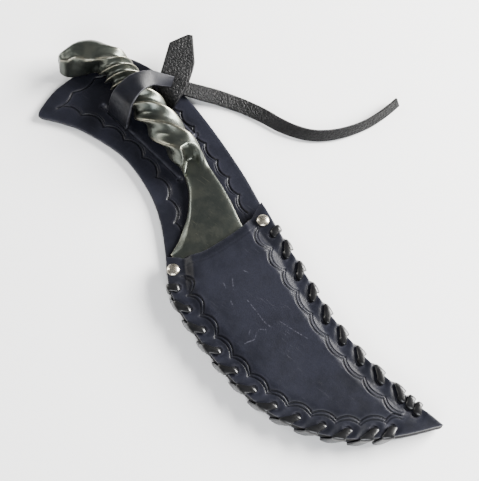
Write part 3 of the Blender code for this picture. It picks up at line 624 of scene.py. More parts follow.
# Each leather's third colour is the lighter tone for scratches, scuffs and edge wear, and for painted
# highlight on edges and tooling lips.
FINISH = {
    "black_leather": leather_finish("black leather", linear(18, 19, 25), linear(28, 29, 37),
                                    linear(66, 66, 74), 0.31,
                                    1.5, 0.20, 0.00005, 0.15),
    "cut_leather": leather_finish("cut leather core", linear(9, 9, 10), linear(20, 19, 18),
                                  linear(40, 38, 36), 0.6,
                                  1.6, 0.6, 0.0003, 0.15),
    "keeper_leather": leather_finish("strap leather", linear(10, 11, 15), linear(20, 21, 28),
                                     linear(96, 96, 102),
                                     0.34, 1.8, 0.18, 0.00004, 0.2),
    "flesh_leather": leather_finish("rough leather", linear(4, 4, 5), linear(10, 10, 12), linear(48, 48, 52),
                                    0.30, 0.46, 0.7, 0.0012, 0.2, 0.0, False),
    "waxed_lace": lace_finish(),
    "nickel": nickel_finish(),
    "forged_steel": steel_finish(),
}


# ---------------------------------------------------------------- leather sheets

def area_of(loop):
    after = np.roll(loop, -1, axis=0)
    return (loop[:, 0] * after[:, 1] - after[:, 0] * loop[:, 1]).sum() / 2


def resampled(loop, step):
    closed = Line(np.concatenate([loop, loop[:1]]))
    count = max(8, round(closed.length / step))
    return closed.at(np.linspace(0, closed.length, count, endpoint=False))


def inside(places, loops):
    """Which places lie in the first loop and outside the others."""
    crossings = np.zeros(len(places), int)
    for loop in loops:
        a, b = loop, np.roll(loop, -1, axis=0)
        rise = np.where(b[:, 1] == a[:, 1], 1e-9, b[:, 1] - a[:, 1])
        for first in range(0, len(places), 2000):
            part = places[first:first + 2000]
            y = part[:, 1:2]
            straddles = (a[:, 1] > y) != (b[:, 1] > y)
            at = a[:, 0] + (y - a[:, 1]) * (b[:, 0] - a[:, 0]) / rise
            crossings[first:first + 2000] += (straddles & (part[:, 0:1] < at)).sum(1)
    return crossings % 2 == 1


def apart(places, kept, gap):
    """The places that lie at least this far from all those kept already."""
    tree = KDTree(len(kept))
    for i, (x, y) in enumerate(kept):
        tree.insert((x, y, 0.0), i)
    tree.balance()
    return np.array([p for p in places if tree.find((p[0], p[1], 0.0))[2] >= gap]).reshape(-1, 2)


def loops_distance(places, loops):
    """How far each place is from the nearest of these closed loops."""
    lines = [Line(np.concatenate([loop, loop[:1]])) for loop in loops]
    return np.min([line.nearest(places)[0] for line in lines], axis=0)


def inset_rows(loop, offsets):
    """Rows of points beside a loop, on its left."""
    run = np.roll(loop, -1, axis=0) - np.roll(loop, 1, axis=0)
    run /= np.linalg.norm(run, axis=1, keepdims=True)
    left = np.stack([-run[:, 1], run[:, 0]], axis=1)
    return [loop + left * offset for offset in offsets]


def filled(loops, extra):
    """Triangles that fill the first loop, but not the others, and pass through the extra points."""
    points, edges = [], []
    for loop in loops:
        first = len(points)
        points += [Vector(p) for p in loop]
        edges += [(first + i, first + (i + 1) % len(loop)) for i in range(len(loop))]
    points += [Vector(p) for p in extra]
    made = delaunay_2d_cdt(points, edges, [], 2, 1e-5)
    places = np.array([tuple(p) for p in made[0]])
    triangles = []
    for a, b, c in made[2]:
        (ux, uy), (vx, vy) = places[b] - places[a], places[c] - places[a]
        turn = ux * vy - uy * vx
        triangles.append((a, b, c) if turn > 0 else (a, c, b))
    return places, triangles


EDGE_ROUND = 0.75
HOLE_ROUND = 0.45


def rounding(distance, radius):
    """How far a surface drops towards an edge that is rounded with this radius."""
    into = np.clip(radius - distance, 0, radius)
    return radius - np.sqrt(radius ** 2 - into ** 2)


def carved(places, tooling):
    """Drop that the tooling lines give each place, a mask for their floors, painted dark as shade, and one
    for the lips beside them, painted bright as highlight.
    """
    drop, mark, lip_highlight = np.zeros(len(places)), np.zeros(len(places)), np.zeros(len(places))
    for line, depth, half in tooling:
        far = line.nearest(places)[0]
        floor, side = np.exp(-(far / half) ** 2), np.exp(-((far - 2.0 * half) / (0.8 * half)) ** 2)
        drop += depth * (floor - 0.26 * side)
        mark = np.maximum(mark, floor * min(1.0, depth / 0.5))
        lip_highlight = np.maximum(lip_highlight, side * min(1.0, depth / 0.5))
    return drop, mark, lip_highlight


def leather_sheet(name, loops, top, bottom, finish, body, stands_for, tooling=(), scratches=(),
                  step=1.15,
                  edge_round=EDGE_ROUND):
    """A sheet of leather cut to the loops, between two surfaces, with rounded edges and tooling lines; its
    marks carry painted shade in the grooves, painted highlight on their lips, and a lighter edge that is
    painted highlight with some wear.
    """
    outer = resampled(loops[0], 0.8)
    outer = outer if area_of(outer) > 0 else outer[::-1]
    others = [resampled(loop, 0.6) for loop in loops[1:]]
    others = [loop if area_of(loop) < 0 else loop[::-1] for loop in others]
    every = [outer] + others
    rows = inset_rows(outer, (0.1, 0.3, edge_round))
    for loop in others:
        rows += inset_rows(loop, (0.08, 0.22, HOLE_ROUND))
    rows = np.concatenate(rows)
    rows = rows[inside(rows, every)]
    rows = rows[loops_distance(rows, every) > 0.07]
    rim = np.concatenate(every + [rows])
    carved_rows = [rows]
    for line, _, half in list(tooling) + [(line, 0.0, 0.22) for line in scratches]:
        spread = half * np.array([-2.6, -1.8, -1.1, -0.55, 0.0, 0.55, 1.1, 1.8, 2.6])
        marks = np.arange(0, line.length, 0.9)
        run = line.heading(marks)
        left = np.stack([-run[:, 1], run[:, 0]], axis=1)
        beside = np.concatenate([line.at(marks) + left * offset for offset in spread])
        beside = beside[inside(beside, every)]
        carved_rows.append(apart(beside, np.concatenate([rim] + carved_rows[1:]), 0.22))
    low, high = outer.min(0), outer.max(0)
    sheets = []
    for spacing, extra in ((step, np.concatenate(carved_rows)), (step * 2.2, rows)):
        ys = np.arange(low[1], high[1], spacing * 0.866)
        xs = np.arange(low[0], high[0], spacing)
        grid = np.array([(x + spacing * 0.5 * (j % 2), y) for j, y in enumerate(ys) for x in xs])
        grid = grid[inside(grid, every)]
        grid = apart(grid, np.concatenate([rim, extra]), spacing * 0.62)
        sheets.append(filled(every, np.concatenate([extra, grid])))
    (top_places, top_faces), (low_places, low_faces) = sheets

    fars = [(loops_distance(places, every[:1]), loops_distance(places, every[1:]))
            for places in (top_places, low_places)]
    rounded = [np.maximum(rounding(outer_far, edge_round), rounding(holes_far, HOLE_ROUND))
               for outer_far, holes_far in fars]
    drop, mark, lip_highlight = carved(top_places, tooling)
    scratch = np.zeros(len(top_places))
    for line in scratches:
        scratch = np.maximum(scratch, np.exp(-(line.nearest(top_places)[0] / 0.24) ** 2))
    nothing = np.zeros(len(low_places))
    top_z = top(top_places) - rounded[0] - drop
    low_z = bottom(low_places) + rounded[1]
    points = np.concatenate([np.column_stack([top_places, top_z]), np.column_stack([low_places, low_z])])
    shift = len(top_places)
    faces = list(top_faces) + [(a + shift, c + shift, b + shift) for a, b, c in low_faces]
    under = {(round(x, 3), round(y, 3)): i + shift for i, (x, y) in enumerate(low_places)}
    directed = {(f[i], f[(i + 1) % 3]) for f in top_faces for i in range(3)}
    for a, b in sorted(directed):
        if (b, a) not in directed:
            below = [under[tuple(round(v, 3) for v in top_places[i])] for i in (a, b)]
            faces.append((b, a, below[0], below[1]))
    # Edge mark: the finish paints the outer edge and hole rims lighter, as painted highlight with some wear.
    edge = np.concatenate([np.exp(-(np.minimum(*far) / 0.6) ** 2) for far in fars])
    marks = {
        "edge": edge,
        "flesh": np.concatenate([np.zeros(shift), np.ones(len(low_places))]),
        "groove_shade": np.concatenate([mark, nothing]),
        "lip_highlight": np.concatenate([lip_highlight, nothing]),
        "scratch": np.concatenate([scratch, nothing]),
    }
    return piece(name, points, faces, finish, body, stands_for, marks)


# ---------------------------------------------------------------- tooled borders

def scallops(side, cusps, cusp_inset, apex_inset):
    """Arcs beside an edge between cusps at these distances; they bulge to the panel's middle."""
    points = []
    for number, (start, end) in enumerate(zip(cusps, cusps[1:])):
        share = np.linspace(0, 1, 15)[:-1]
        along = start + (end - start) * share
        inset = cusp_inset + (apex_inset(number) - cusp_inset) * np.sin(math.pi * share) ** 0.7
        points.append(EDGES[side].at(along) - way_out(side, along) * inset[:, None])
    return Line(np.concatenate(points))


LACE_THICK = 1.2
LACE_SLIM = 3.9
LACE_SPREAD = 1.6
LACE_WIDEST = 7.4
LACE_BEND = LACE_THICK / 2 + 0.45
LEAN_FRONT = 0.30
LEAN_SIDE = 0.70
LAST_STITCH = 5.0
HOLE_INSET = 4.75
LACE_GAP = 0.3


MEETING = placed((127.4, -15.6, 0.0))[:2]


def front_tooling():
    """A double scalloped line inside the lace holes, and a creased line beside the mouth."""
    lines = []
    for side, cusp_inset, apex in (("lower", 9.0, 11.9), ("upper", 10.2, 13.2)):
        marks = [distance for distance, _ in HOLES[side]]
        last = max(i for i, mark in enumerate(marks[1:]) if mark - marks[i] > PITCH * 0.8) + 1
        cusps = [marks[0] - PITCH * 0.5] + [mark + PITCH * 0.5 for mark in marks[:last + 1]]
        ends = EDGES[side].nearest(MEETING)[1][0]
        cusps = [mark for mark in cusps if mark < ends - 6.0] + [ends]
        for shift, depth, half in ((0.0, 0.50, 0.42), (-2.0, 0.40, 0.38)):
            lines.append((scallops(side, cusps, cusp_inset + shift * 0.8,
                                   lambda n, apex=apex,
                                   shift=shift: apex + shift + 2.2 * max(0.0, 1 - n / 3)),
                          depth, half))
    count = 60
    marks = np.linspace(9.0, MOUTH.length - 10.0, count)
    run = MOUTH.heading(marks, 2.0)
    inward = np.stack([run[:, 1], -run[:, 0]], axis=1)
    lines.append((Line(MOUTH.at(marks) + inward * 5.8), 0.08, 0.55))
    return lines


def back_tooling():
    """One scalloped line round the exposed end of the back panel."""
    lines = []
    lower_cusps = np.arange(10.0, EARS["lower"] + 12.0, PITCH * 0.97)
    upper_cusps = np.arange(8.0, EARS["upper"] + 6.0, PITCH * 0.9)
    for side, cusps, cusp_inset, apex in (("lower", lower_cusps, 8.2, 11.6),
                                          ("upper", upper_cusps, 8.6, 11.4)):
        lines.append((scallops(side, cusps, cusp_inset, lambda n, apex=apex: apex), 0.62, 0.50))
        lines.append((scallops(side, cusps, cusp_inset + 1.5, lambda n, apex=apex: apex + 1.5), 0.25, 0.35))
    starts = [LOWER.at(10.0) - way_out("lower", 10.0) * 8.2, UPPER.at(8.0) - way_out("upper", 8.0) * 8.6]
    marks = END.nearest(np.array(starts))[1]
    along = np.linspace(marks[0], marks[1], 60)
    run = END.heading(along)
    inward = np.stack([run[:, 1], -run[:, 0]], axis=1)
    wave = 8.6 + 2.6 * np.abs(np.sin(math.pi * 3 * (along - marks[0]) / (marks[1] - marks[0])))
    lines.append((Line(END.at(along) + inward * wave[:, None]), 0.62, 0.50))
    return lines


PITCH = float(np.median(np.diff([distance for distance, _ in HOLES["lower"]])))

# The front panel: how far it stands up over the blade, and from how far inside the edge
# The front stands up over the blade: how high, and how far in from the edge it starts and is full
DOME_MOUTH = 3.9
DOME_TIP = 0.9
DOME_START = 7.1
DOME_UNDER = 11.2
DOME_OVER = 14.5
DOME_RIVET = 4.5
DOME_RIVET_REACH = 18.0
MOUTH_SKIVE = 1.5
NEARLY = 0.25


# Old scratches on the front, from one point to the next
SCRATCHES = [
    [(36.4, -38.9), (37.1, -36.9), (38.9, -33.6), (37.7, -30.3), (37.7, -27.0), (40.1, -25.5), (39.8, -23.3)],
    [(40.1, -25.5), (41.8, -26.4)],
    [(21.6, -18.3), (29.5, -20.2), (36.6, -22.1), (41.2, -22.2)],
    [(44.0, -16.5), (53.1, -15.5), (61.3, -14.5)],
    [(33.9, -31.4), (35.5, -34.5)],
    [(5.8, -19.4), (8.0, -20.5)],
    [(7.7, -14.4), (12.1, -18.7)],
    [(15.1, -24.7), (16.8, -25.7)],
    [(9.3, -6.0), (11.7, -5.3)],
]


def dome(places, flat_from):
    """How far the front panel stands up at these places; it is full this far inside the edge."""
    edge = np.minimum(UPPER.nearest(places)[0], LOWER.nearest(places)[0])
    rivet = np.min([np.linalg.norm(places - centre, axis=1) for centre in RIVETS.values()], axis=0)
    start = DOME_START + DOME_RIVET * np.clip(1 - rivet / DOME_RIVET_REACH, 0, 1)
    share = np.clip((edge - start) / (flat_from - DOME_START), 0, 1)
    mouth_x, tip_x = MOUTH.points[0][0], UPPER.points[-1][0]
    height = DOME_MOUTH + (DOME_TIP - DOME_MOUTH) * (places[:, 0] - mouth_x) / (tip_x - mouth_x)
    return height * share ** 2 * (3 - 2 * share)


def uneven(places, size, depth, seed):
    return np.array([depth * noise.noise(Vector((x / size + seed, y / size, seed))) for x, y in places])


def pulled_down(places):
    """How far the lace pulls the front's edge down, from 1 under it to 0 well between two turns."""
    runs = []
    for side, holes in HOLES.items():
        for (distance, centre), (before, _) in zip(holes[1:], holes):
            runs.append(Line([centre, EDGES[side].at(distance - (distance - before) * LEAN_FRONT)]))
    far = np.min([run.nearest(places)[0] for run in runs], axis=0)
    edge = np.minimum(UPPER.nearest(places)[0], LOWER.nearest(places)[0])
    return np.exp(-(np.maximum(far - 2.9, 0) / 1.6) ** 2), np.clip(1 - (edge / 8.5) ** 2, 0, 1)


def front_top(places):
    mouth = MOUTH.nearest(places)[0]
    pull, near = pulled_down(places)
    puff = (0.75 * (1 - pull) - 0.25 * pull) * near * np.clip(mouth / 12.0, 0, 1)
    return (FRONT_TOP + dome(places, DOME_OVER) + puff + uneven(places, 26.0, 0.35, 3.1)
            - MOUTH_SKIVE * np.exp(-(mouth / 3.2) ** 2))


def front_bottom(places):
    return FRONT_LOW - NEARLY + dome(places, DOME_UNDER)


def back_top(places):
    return BACK_TOP + uneven(places, 30.0, 0.25, 7.7)


def back_bottom(places):
    return BACK_LOW + np.zeros(len(places))


def circle(centre, radius, count=28):
    turn = np.linspace(0, 2 * math.pi, count, endpoint=False)
    return np.column_stack([centre[0] + radius * np.cos(turn), centre[1] + radius * np.sin(turn)])


def stitch_holes():
    return [circle(centre, HOLE_RADIUS) for side in HOLES for _, centre in HOLES[side]]


def build_panels():
    post_holes = [circle(centre, POST_RADIUS + 0.15, 16) for centre in RIVETS.values()]
    outer = np.concatenate([LOWER.part(0, LOWER.length, 0.8), UPPER.part(UPPER.length, 0, 0.8)[1:],
                            END.part(END.length, 0, 0.8)[1:-1]])
    leather_sheet("back_leather", [outer] + SLITS + stitch_holes() + post_holes, back_top, back_bottom,
                  FINISH["black_leather"], "sheath", ["back_panel"], back_tooling())
    front_outline = np.concatenate([
        LOWER.part(EARS["lower"], LOWER.length, 0.8), UPPER.part(UPPER.length, EARS["upper"], 0.8)[1:],
        MOUTH.part(MOUTH.length, 0, 0.8)[1:-1]])
    leather_sheet("front_leather", [front_outline] + stitch_holes() + post_holes, front_top, front_bottom,
                  FINISH["black_leather"], "sheath", ["front_panel"], front_tooling(),
                  [Line(smooth(placed([(x, y, 0.0) for x, y in run])[:, :2], 5)) for run in SCRATCHES])
    welt_loops = top_outlines("welt")
    flat = [loop for loop in welt_loops if np.ptp(loop, axis=0).max() > 20]
    leather_sheet("welt_leather", flat + stitch_holes() + post_holes,
                  lambda places: np.full(len(places), WELT_TOP),
                  lambda places: np.full(len(places), WELT_LOW - NEARLY),
                  FINISH["cut_leather"], "sheath", ["welt"], step=2.5, edge_round=0.3)


# ---------------------------------------------------------------- lacing

def bend(point, along, outward, level, reach, first, second, widths):
    """Rings' centres, width directions, outer faces and widths round one bend of the lace."""
    pivot = np.array([*(point + outward * reach), level])
    rows = []
    for step in range(5):
        turn = math.radians(22.5 * step)
        face = first * math.cos(turn) + second * math.sin(turn)
        rows.append((pivot + face * LACE_BEND, np.array([*along, 0.0]), face,
                     widths[0] + (widths[1] - widths[0]) * step / 4))
    return rows


def flat3(direction):
    return np.array([direction[0], direction[1], 0.0])


def stitch(side, distance, centre, to_next, wide):
    """One turn of the lace: up through its hole, over the front, round the edge and back under."""
    half = LACE_THICK / 2
    low, high = half + LACE_BEND, FRONT_TOP + LACE_GAP + 0.25 + half - LACE_BEND
    reach = half + LACE_GAP - LACE_BEND
    line = EDGES[side]
    spots = [distance, distance - to_next * LEAN_FRONT, distance - to_next * LEAN_SIDE, distance - to_next]
    runs = [line.heading(spot) for spot in spots]
    outs = [way_out(side, spot) for spot in spots]
    rows = bend(np.array(centre), runs[0], outs[0], high, LACE_BEND, -flat3(outs[0]), UP,
                (LACE_SLIM, LACE_SLIM + LACE_SPREAD))
    rows += bend(line.at(spots[1]), runs[1], outs[1], high, reach, UP, flat3(outs[1]), (wide, wide))
    rows += bend(line.at(spots[2]), runs[2], outs[2], low, reach, flat3(outs[2]), -UP, (wide, wide))
    rows += bend(line.at(spots[3]) - outs[3] * HOLE_INSET, runs[3], outs[3], low, LACE_BEND, -UP,
                 -flat3(outs[3]), (LACE_SLIM + LACE_SPREAD, LACE_SLIM))
    return rows


def lace_section(width, thick):
    """A flat lace's section, crowned on its outer face."""
    base = flat_section(width, thick, 0.5, 3)
    top = np.linspace(base[3, 0], base[4, 0], 7)[1:-1]
    ring = np.concatenate([base[:4], np.column_stack([top, np.full(5, thick / 2)]), base[4:]])
    crown = 1 - (ring[:, 0] / (width / 2)) ** 2
    ring[:, 1] += np.where(ring[:, 1] > 0, 0.45 * crown, 0.0)
    return ring


def whip_lace(side):
    """The whole lace of one edge, worked from the tip to the mouth."""
    holes = HOLES[side][::-1]
    distance, centre = holes[0]
    out = way_out(side, distance)
    run = EDGES[side].heading(distance)
    rows = [(np.array([*centre, BACK_LOW]), flat3(run), -flat3(out), 3.0)]
    for number, (hole, after) in enumerate(zip(holes, holes[1:])):
        wide = min(LACE_WIDEST, 0.6 + 0.66 * (hole[0] - after[0])) + 0.5 * noise.noise(Vector((number * 1.7,
                                                                                               0.5,
                                                                                       2.0)))
        rows += stitch(side, hole[0], hole[1], hole[0] - after[0], wide)
    rows += stitch(side, holes[-1][0], holes[-1][1], LAST_STITCH, 4.6)[:-3]
    rings = []
    for number, (place, along, face, width) in enumerate(rows):
        section = lace_section(width, LACE_THICK)
        wobble = 0.10 * noise.noise(Vector((number * 0.9, 1.0, 4.0)))
        rings.append(place + face * wobble + np.outer(section[:, 0], along) + np.outer(section[:, 1], face))
    points, faces = loft(rings)
    return piece(f"{side}_lace", points, facing_out(points, faces), FINISH["waxed_lace"], "sheath",
                 [f"edge_lace_{side}"])


# ---------------------------------------------------------------- rivets

RIVET_RING = 48


def turned(name, profile, centre, finish, stands_for, dents=0.0):
    """A turned piece from a profile of radius and height, closed where the radius is nothing."""
    rings = []
    for radius, height in profile:
        turn = np.linspace(0, 2 * math.pi, RIVET_RING, endpoint=False)
        ring = np.column_stack([centre[0] + radius * np.cos(turn), centre[1] + radius * np.sin(turn),
                                np.full(RIVET_RING, height)])
        ring[:, 2] += [rough(p, 0.9, dents, centre[0]) for p in ring]
        rings.append(ring)
    points, faces = loft(rings)
    return piece(name, points, facing_out(points, faces), finish, "sheath", stands_for, sharp=50)


def build_rivets():
    for side, centre in RIVETS.items():
        rise = CAP_TOP - CAP_LOW
        arc = [math.radians(angle) for angle in range(0, 90, 8)]
        profile = [(RIVET_RADIUS - 0.5, CAP_LOW), (RIVET_RADIUS - 0.12, CAP_LOW + 0.06),
                   (RIVET_RADIUS, CAP_LOW + 0.3)]
        profile += [(RIVET_RADIUS * math.cos(a), CAP_LOW + 0.5 + (rise - 0.45) * math.sin(a)) for a in arc]
        turned(f"{side}_rivet_cap", profile, centre, FINISH["nickel"], [f"rivet_cap_{side}"],
               dents=0.02)
        foot_top = FOOT_LOW + 0.8
        profile = [(0.6, FOOT_LOW + 0.25), (1.1, FOOT_LOW), (FOOT_RADIUS - 0.3, FOOT_LOW),
                   (FOOT_RADIUS, FOOT_LOW + 0.3),
                   (FOOT_RADIUS - 0.1, FOOT_LOW + 0.6), (POST_RADIUS + 0.3, foot_top),
                   (POST_RADIUS, foot_top + 0.3),
                   (POST_RADIUS, CAP_LOW - 0.05)]
        turned(f"{side}_rivet_post", profile, centre, FINISH["nickel"], [f"rivet_post_{side}"])


# ---------------------------------------------------------------- knife

HANDLE_START = placed((-141.0, 47.9, 15.3))
HANDLE_END = placed((-60.0, 28.8, 15.3))
HANDLE_HALF = 8.0
HANDLE_POWER = 8.0
HANDLE_HOLLOW = 0.12
RING = 96

# Between these distances along the bar, its four ridges fade into the forged-down end
FORGED_SMOOTH = (73.0, 84.0)

# The bar's twist in degrees, at distances along it: quick behind the head, slow at the blade
TWIST = smooth([(0.0, 0.0), (6.0, -45.0), (10.0, -98.0), (16.0, -190.0), (20.0, -250.0), (25.0, -318.0),
                (32.0, -400.0), (41.0, -474.0), (48.0, -519.0), (56.0, -560.0), (64.0, -597.0),
                (73.0, -634.0), (84.0, -672.0), (112.0, -760.0)], 8)

# Hooked head, from its blunt end to the bar: foot and rim of the flat inner face, and the outer side
HEAD = [
    ((-162.0, 26.2, 9.0), (-161.6, 27.6, 17.0), (-163.2, 27.8, 13.0)),
    ((-160.4, 24.9, 6.4), (-159.4, 27.5, 20.6), (-164.2, 30.6, 14.0)),
    ((-156.5, 25.1, 5.6), (-155.2, 29.6, 22.3), (-163.6, 36.5, 14.5)),
    ((-153.2, 27.2, 5.4), (-152.8, 33.4, 23.4), (-161.4, 43.4, 15.0)),
    ((-149.9, 30.7, 5.4), (-149.7, 35.2, 24.0), (-157.4, 49.2, 15.0)),
    ((-147.3, 34.0, 5.6), (-146.3, 36.0, 23.6), (-152.4, 52.6, 15.0)),
    ((-145.0, 37.4, 6.4), (-143.9, 38.2, 23.2), (-146.4, 54.3, 15.2)),
]

# Where the thick bar drops to the flat blade, across the bar from the edge side to the spine side
DROP = [(-1.2, 87.3, 2.0), (-0.9, 86.8, 2.2), (-0.6, 85.0, 2.6), (-0.3, 80.5, 3.6), (0.0, 80.5, 5.0),
        (0.3, 81.0, 7.0), (0.6, 83.5, 10.0), (0.9, 88.0, 16.0), (1.2, 90.0, 18.0)]

SPINE = Line(smooth(placed([(x, y, 0.0) for x, y in (
    (-57.4, 35.6), (-44.0, 31.4), (-31.8, 27.0), (-21.5, 22.3), (-9.5, 16.3), (10.0, 10.0),
    (30.0, 4.0), (60.0, -5.0), (90.0, -13.3), (110.0, -18.5), (122.0, -22.0))])[:, :2], 10))
SWELL = Line(smooth(placed([(x, y, 0.0) for x, y in (
    (-57.2, 20.0), (-49.0, 14.2), (-42.4, 6.4), (-38.0, -0.6), (-34.6, -9.1), (-32.7, -14.7),
    (-31.1, -22.8))])[:, :2], 10))
CUTTING = Line(smooth(placed([(x, y, 0.0) for x, y in (
    (-31.1, -22.8), (-12.0, -29.2), (6.0, -34.6), (25.0, -39.3), (45.0, -43.0), (65.0, -44.0),
    (85.0, -41.0), (104.0, -34.0), (116.0, -27.0), (122.0, -22.0))])[:, :2], 10))
BLADE_THICK = 4.4
BLADE_TIP_THICK = 2.2
BLADE_TIP_X = 122.0 - DESIGN_ZERO[0]
HEEL_SPINE = SPINE.nearest(placed((-15.0, 19.0, 0.0))[:2])[1][0]
SPINE_LEVEL = (7.0, 0.0165)
EDGE_LEVEL = (6.35, 0.0065)
EDGE_THICK = 0.7
BLADE_POWER = 5.0
# The bevel is narrow on the bare blade and wide in the sheath: places along X, and shares of half the width
BEVEL_FROM_TO = (-34.0, -14.0)
BEVEL_SHARES = (0.09, 0.5)


def rounded_square(turn, power, hollow=0.0):
    c, s = np.cos(turn), np.sin(turn)
    reach = (np.abs(c) ** power + np.abs(s) ** power) ** (-1.0 / power) * (1 - hollow * np.cos(2 * turn) ** 2)
    return c * reach, s * reach


def twist(s):
    return math.radians(np.interp(s, TWIST[:, 0], TWIST[:, 1]))


def head_ring(foot, rim, outer):
    """A section of the head: flat and sharp on the inner face, round on the outer side."""
    turn = np.linspace(0, 2 * math.pi, RING, endpoint=False)
    power = np.where(np.cos(turn) < 0, 10.0, 2.3)
    x, y = rounded_square(turn, power)
    across, up = (x[:, None] + 1) / 2, (y[:, None] + 1) / 2
    outer_low = np.array([outer[0], outer[1], foot[2]])
    outer_high = np.array([outer[0], outer[1], 2 * outer[2] - foot[2]])
    return (foot * (1 - across) * (1 - up) + outer_low * across * (1 - up)
            + rim * (1 - across) * up + outer_high * across * up)


def blade_ring(spine, edge, spin):
    """A blade section on its sloping plane: thick at the spine, thin at the edge, with a bevel."""
    share = min(1.0, (BLADE_TIP_X - (spine[0] + edge[0]) / 2) / 180.0)
    thick = BLADE_TIP_THICK + (BLADE_THICK - BLADE_TIP_THICK) * share
    high = np.array([*spine, SPINE_LEVEL[0] + SPINE_LEVEL[1] * (BLADE_TIP_X - spine[0])])
    low = np.array([*edge, EDGE_LEVEL[0] + EDGE_LEVEL[1] * (BLADE_TIP_X - edge[0])])
    c, s = rounded_square(np.linspace(0, 2 * math.pi, RING, endpoint=False) + spin, BLADE_POWER)
    taper = np.clip((1.0 + c) / np.interp(edge[0], BEVEL_FROM_TO, BEVEL_SHARES), 0, 1)
    height = (EDGE_THICK + (thick - EDGE_THICK) * taper) / 2
    ring = (high + low) / 2 + np.outer(c, (high - low) / 2) + np.outer(s * height, UP)
    return ring, c


def build_knife():
    start, end = HANDLE_START, HANDLE_END
    length = np.linalg.norm(end - start)
    axis = (end - start) / length
    across = np.array([-axis[1], axis[0], 0.0])
    final = twist(length)
    turns = np.linspace(0, 2 * math.pi, RING, endpoint=False)
    # Masks for the lighter metal on the ridges, the head's rim and the bevels: partly wear, partly painted
    # highlight.
    corner = np.abs(np.sin(2 * turns)) ** 30
    rim = np.exp(-((turns - 0.75 * math.pi) / 0.07) ** 2)
    rings, ridges = [], []
    head = smooth([np.concatenate([placed(p) for p in row]) for row in HEAD], 9)
    for row in head:
        rings.append(head_ring(row[:3], row[3:6], row[6:]))
        ridges.append(rim)

    def bar(s):
        half = HANDLE_HALF * (1.0 + 0.02 * math.sin(math.pi * min(1.0, s / length)))
        ended = float(np.clip((s - FORGED_SMOOTH[0]) / (FORGED_SMOOTH[1] - FORGED_SMOOTH[0]), 0, 1))
        x, y = rounded_square(turns, HANDLE_POWER + (2.4 - HANDLE_POWER) * ended ** 0.5,
                              HANDLE_HOLLOW * (1 - ended))
        turn = twist(s)
        side, rise = x * math.cos(turn) - y * math.sin(turn), x * math.sin(turn) + y * math.cos(turn)
        return start + axis * s + np.outer(side * half, across) + np.outer(rise * half, UP), side

    neck_start = 70.0
    for s in np.linspace(1.5, neck_start, 170):
        rings.append(bar(s)[0])
        ridges.append(corner)
    pairs = []
    for marks, other, shares in (
            (np.linspace(0, HEEL_SPINE, 91)[:-1], SWELL, np.linspace(0, 1, 91)[:-1]),
            (np.linspace(HEEL_SPINE, SPINE.length * 0.995, 100), CUTTING, np.linspace(0, 0.995, 100))):
        pairs += list(zip(SPINE.at(marks), other.at(other.length * shares)))
    first, first_c = blade_ring(*pairs[0], final)
    blade_at = (first.mean(0) - start) @ axis
    stations = [(s, first + axis * (s - blade_at), first_c)
                for s in np.arange(neck_start + 0.5, blade_at, 0.5)]
    for spine, edge in pairs:
        ring, c = blade_ring(spine, edge, final)
        stations.append(((ring.mean(0) - start) @ axis, ring, c))
    drop = np.array(DROP)
    for s, ring, c in stations:
        thick, side = bar(min(s, 112.0))
        begin = np.interp(side, drop[:, 0], drop[:, 1]) - np.interp(side, drop[:, 0], drop[:, 2]) / 2
        share = np.clip((s - begin) / np.interp(side, drop[:, 0], drop[:, 2]), 0, 1)
        ease = share * share * (3 - 2 * share)
        rings.append(thick * (1 - ease[:, None]) + ring * ease[:, None])
        bevel = np.clip((-c - 0.965) / 0.025, 0, 1) + np.clip((c - 0.97) / 0.02, 0, 1) * 0.7
        fade = np.clip((FORGED_SMOOTH[1] - s) / 8.0, 0, 1)
        ridges.append(corner * (1 - ease) * fade + bevel * ease)
    rings = np.array(rings)
    points, faces = loft(rings)
    hammered = np.array([[rough(p, 0.12, 0.22, 5.0) + rough(p, 0.4, 0.06,
                                                            9.0) for p in ring] for ring in rings])
    outward = rings - rings.mean(1, keepdims=True)
    outward /= np.maximum(np.linalg.norm(outward, axis=2, keepdims=True), 1e-6)
    points[:rings.shape[0] * RING] += (outward * hammered[..., None]).reshape(-1, 3)
    marks = {"ridge_wear_and_highlight": np.concatenate([np.array(ridges).ravel(), [0.0, 0.0]])}
    return piece("forged_knife", points, facing_out(points, faces), FINISH["forged_steel"], "knife",
                 ["knife"], marks)


# ---------------------------------------------------------------- keeper

STRAP = [
    ((-112.8, 24.2, 4.9), (0.993, -0.116, 0.0), 16.6, 2.4),
    ((-113.0, 26.3, 11.0), (0.99, -0.10, 0.0), 16.4, 2.4),
    ((-112.8, 28.4, 17.4), (0.99, 0.0, -0.03), 15.6, 2.4),
    ((-112.0, 31.9, 25.0), (0.99, 0.0, -0.08), 14.0, 2.4),
    ((-110.4, 40.8, 29.3), (0.97, -0.06, -0.15), 12.0, 2.4),
    ((-107.6, 49.8, 26.4), (0.84, -0.20, -0.42), 9.6, 2.4),
    ((-104.2, 55.8, 20.0), (0.62, -0.45, -0.60), 7.6, 2.4),
    ((-101.4, 60.2, 15.2), (0.50, -0.62, -0.60), 6.6, 2.4),
    ((-100.2, 61.8, 12.5), (0.50, -0.62, -0.60), 6.4, 2.4),
]
TAG_LEFT = [
    (-103.6, 50.8, 2.0), (-103.9, 51.9, 6.8), (-105.9, 54.6, 11.2), (-109.4, 60.2, 13.9),
    (-113.4, 69.0, 15.2), (-118.3, 79.7, 16.2), (-112.9, 90.0, 17.2),
]
TAG_RIGHT = [
    (-90.8, 48.4, 2.0), (-90.9, 49.9, 6.8), (-90.4, 55.0, 11.2), (-91.6, 64.6, 13.9),
    (-94.9, 73.3, 15.2), (-97.7, 79.1, 16.2), (-109.8, 91.8, 17.2),
]
TAG_THICK = 2.6

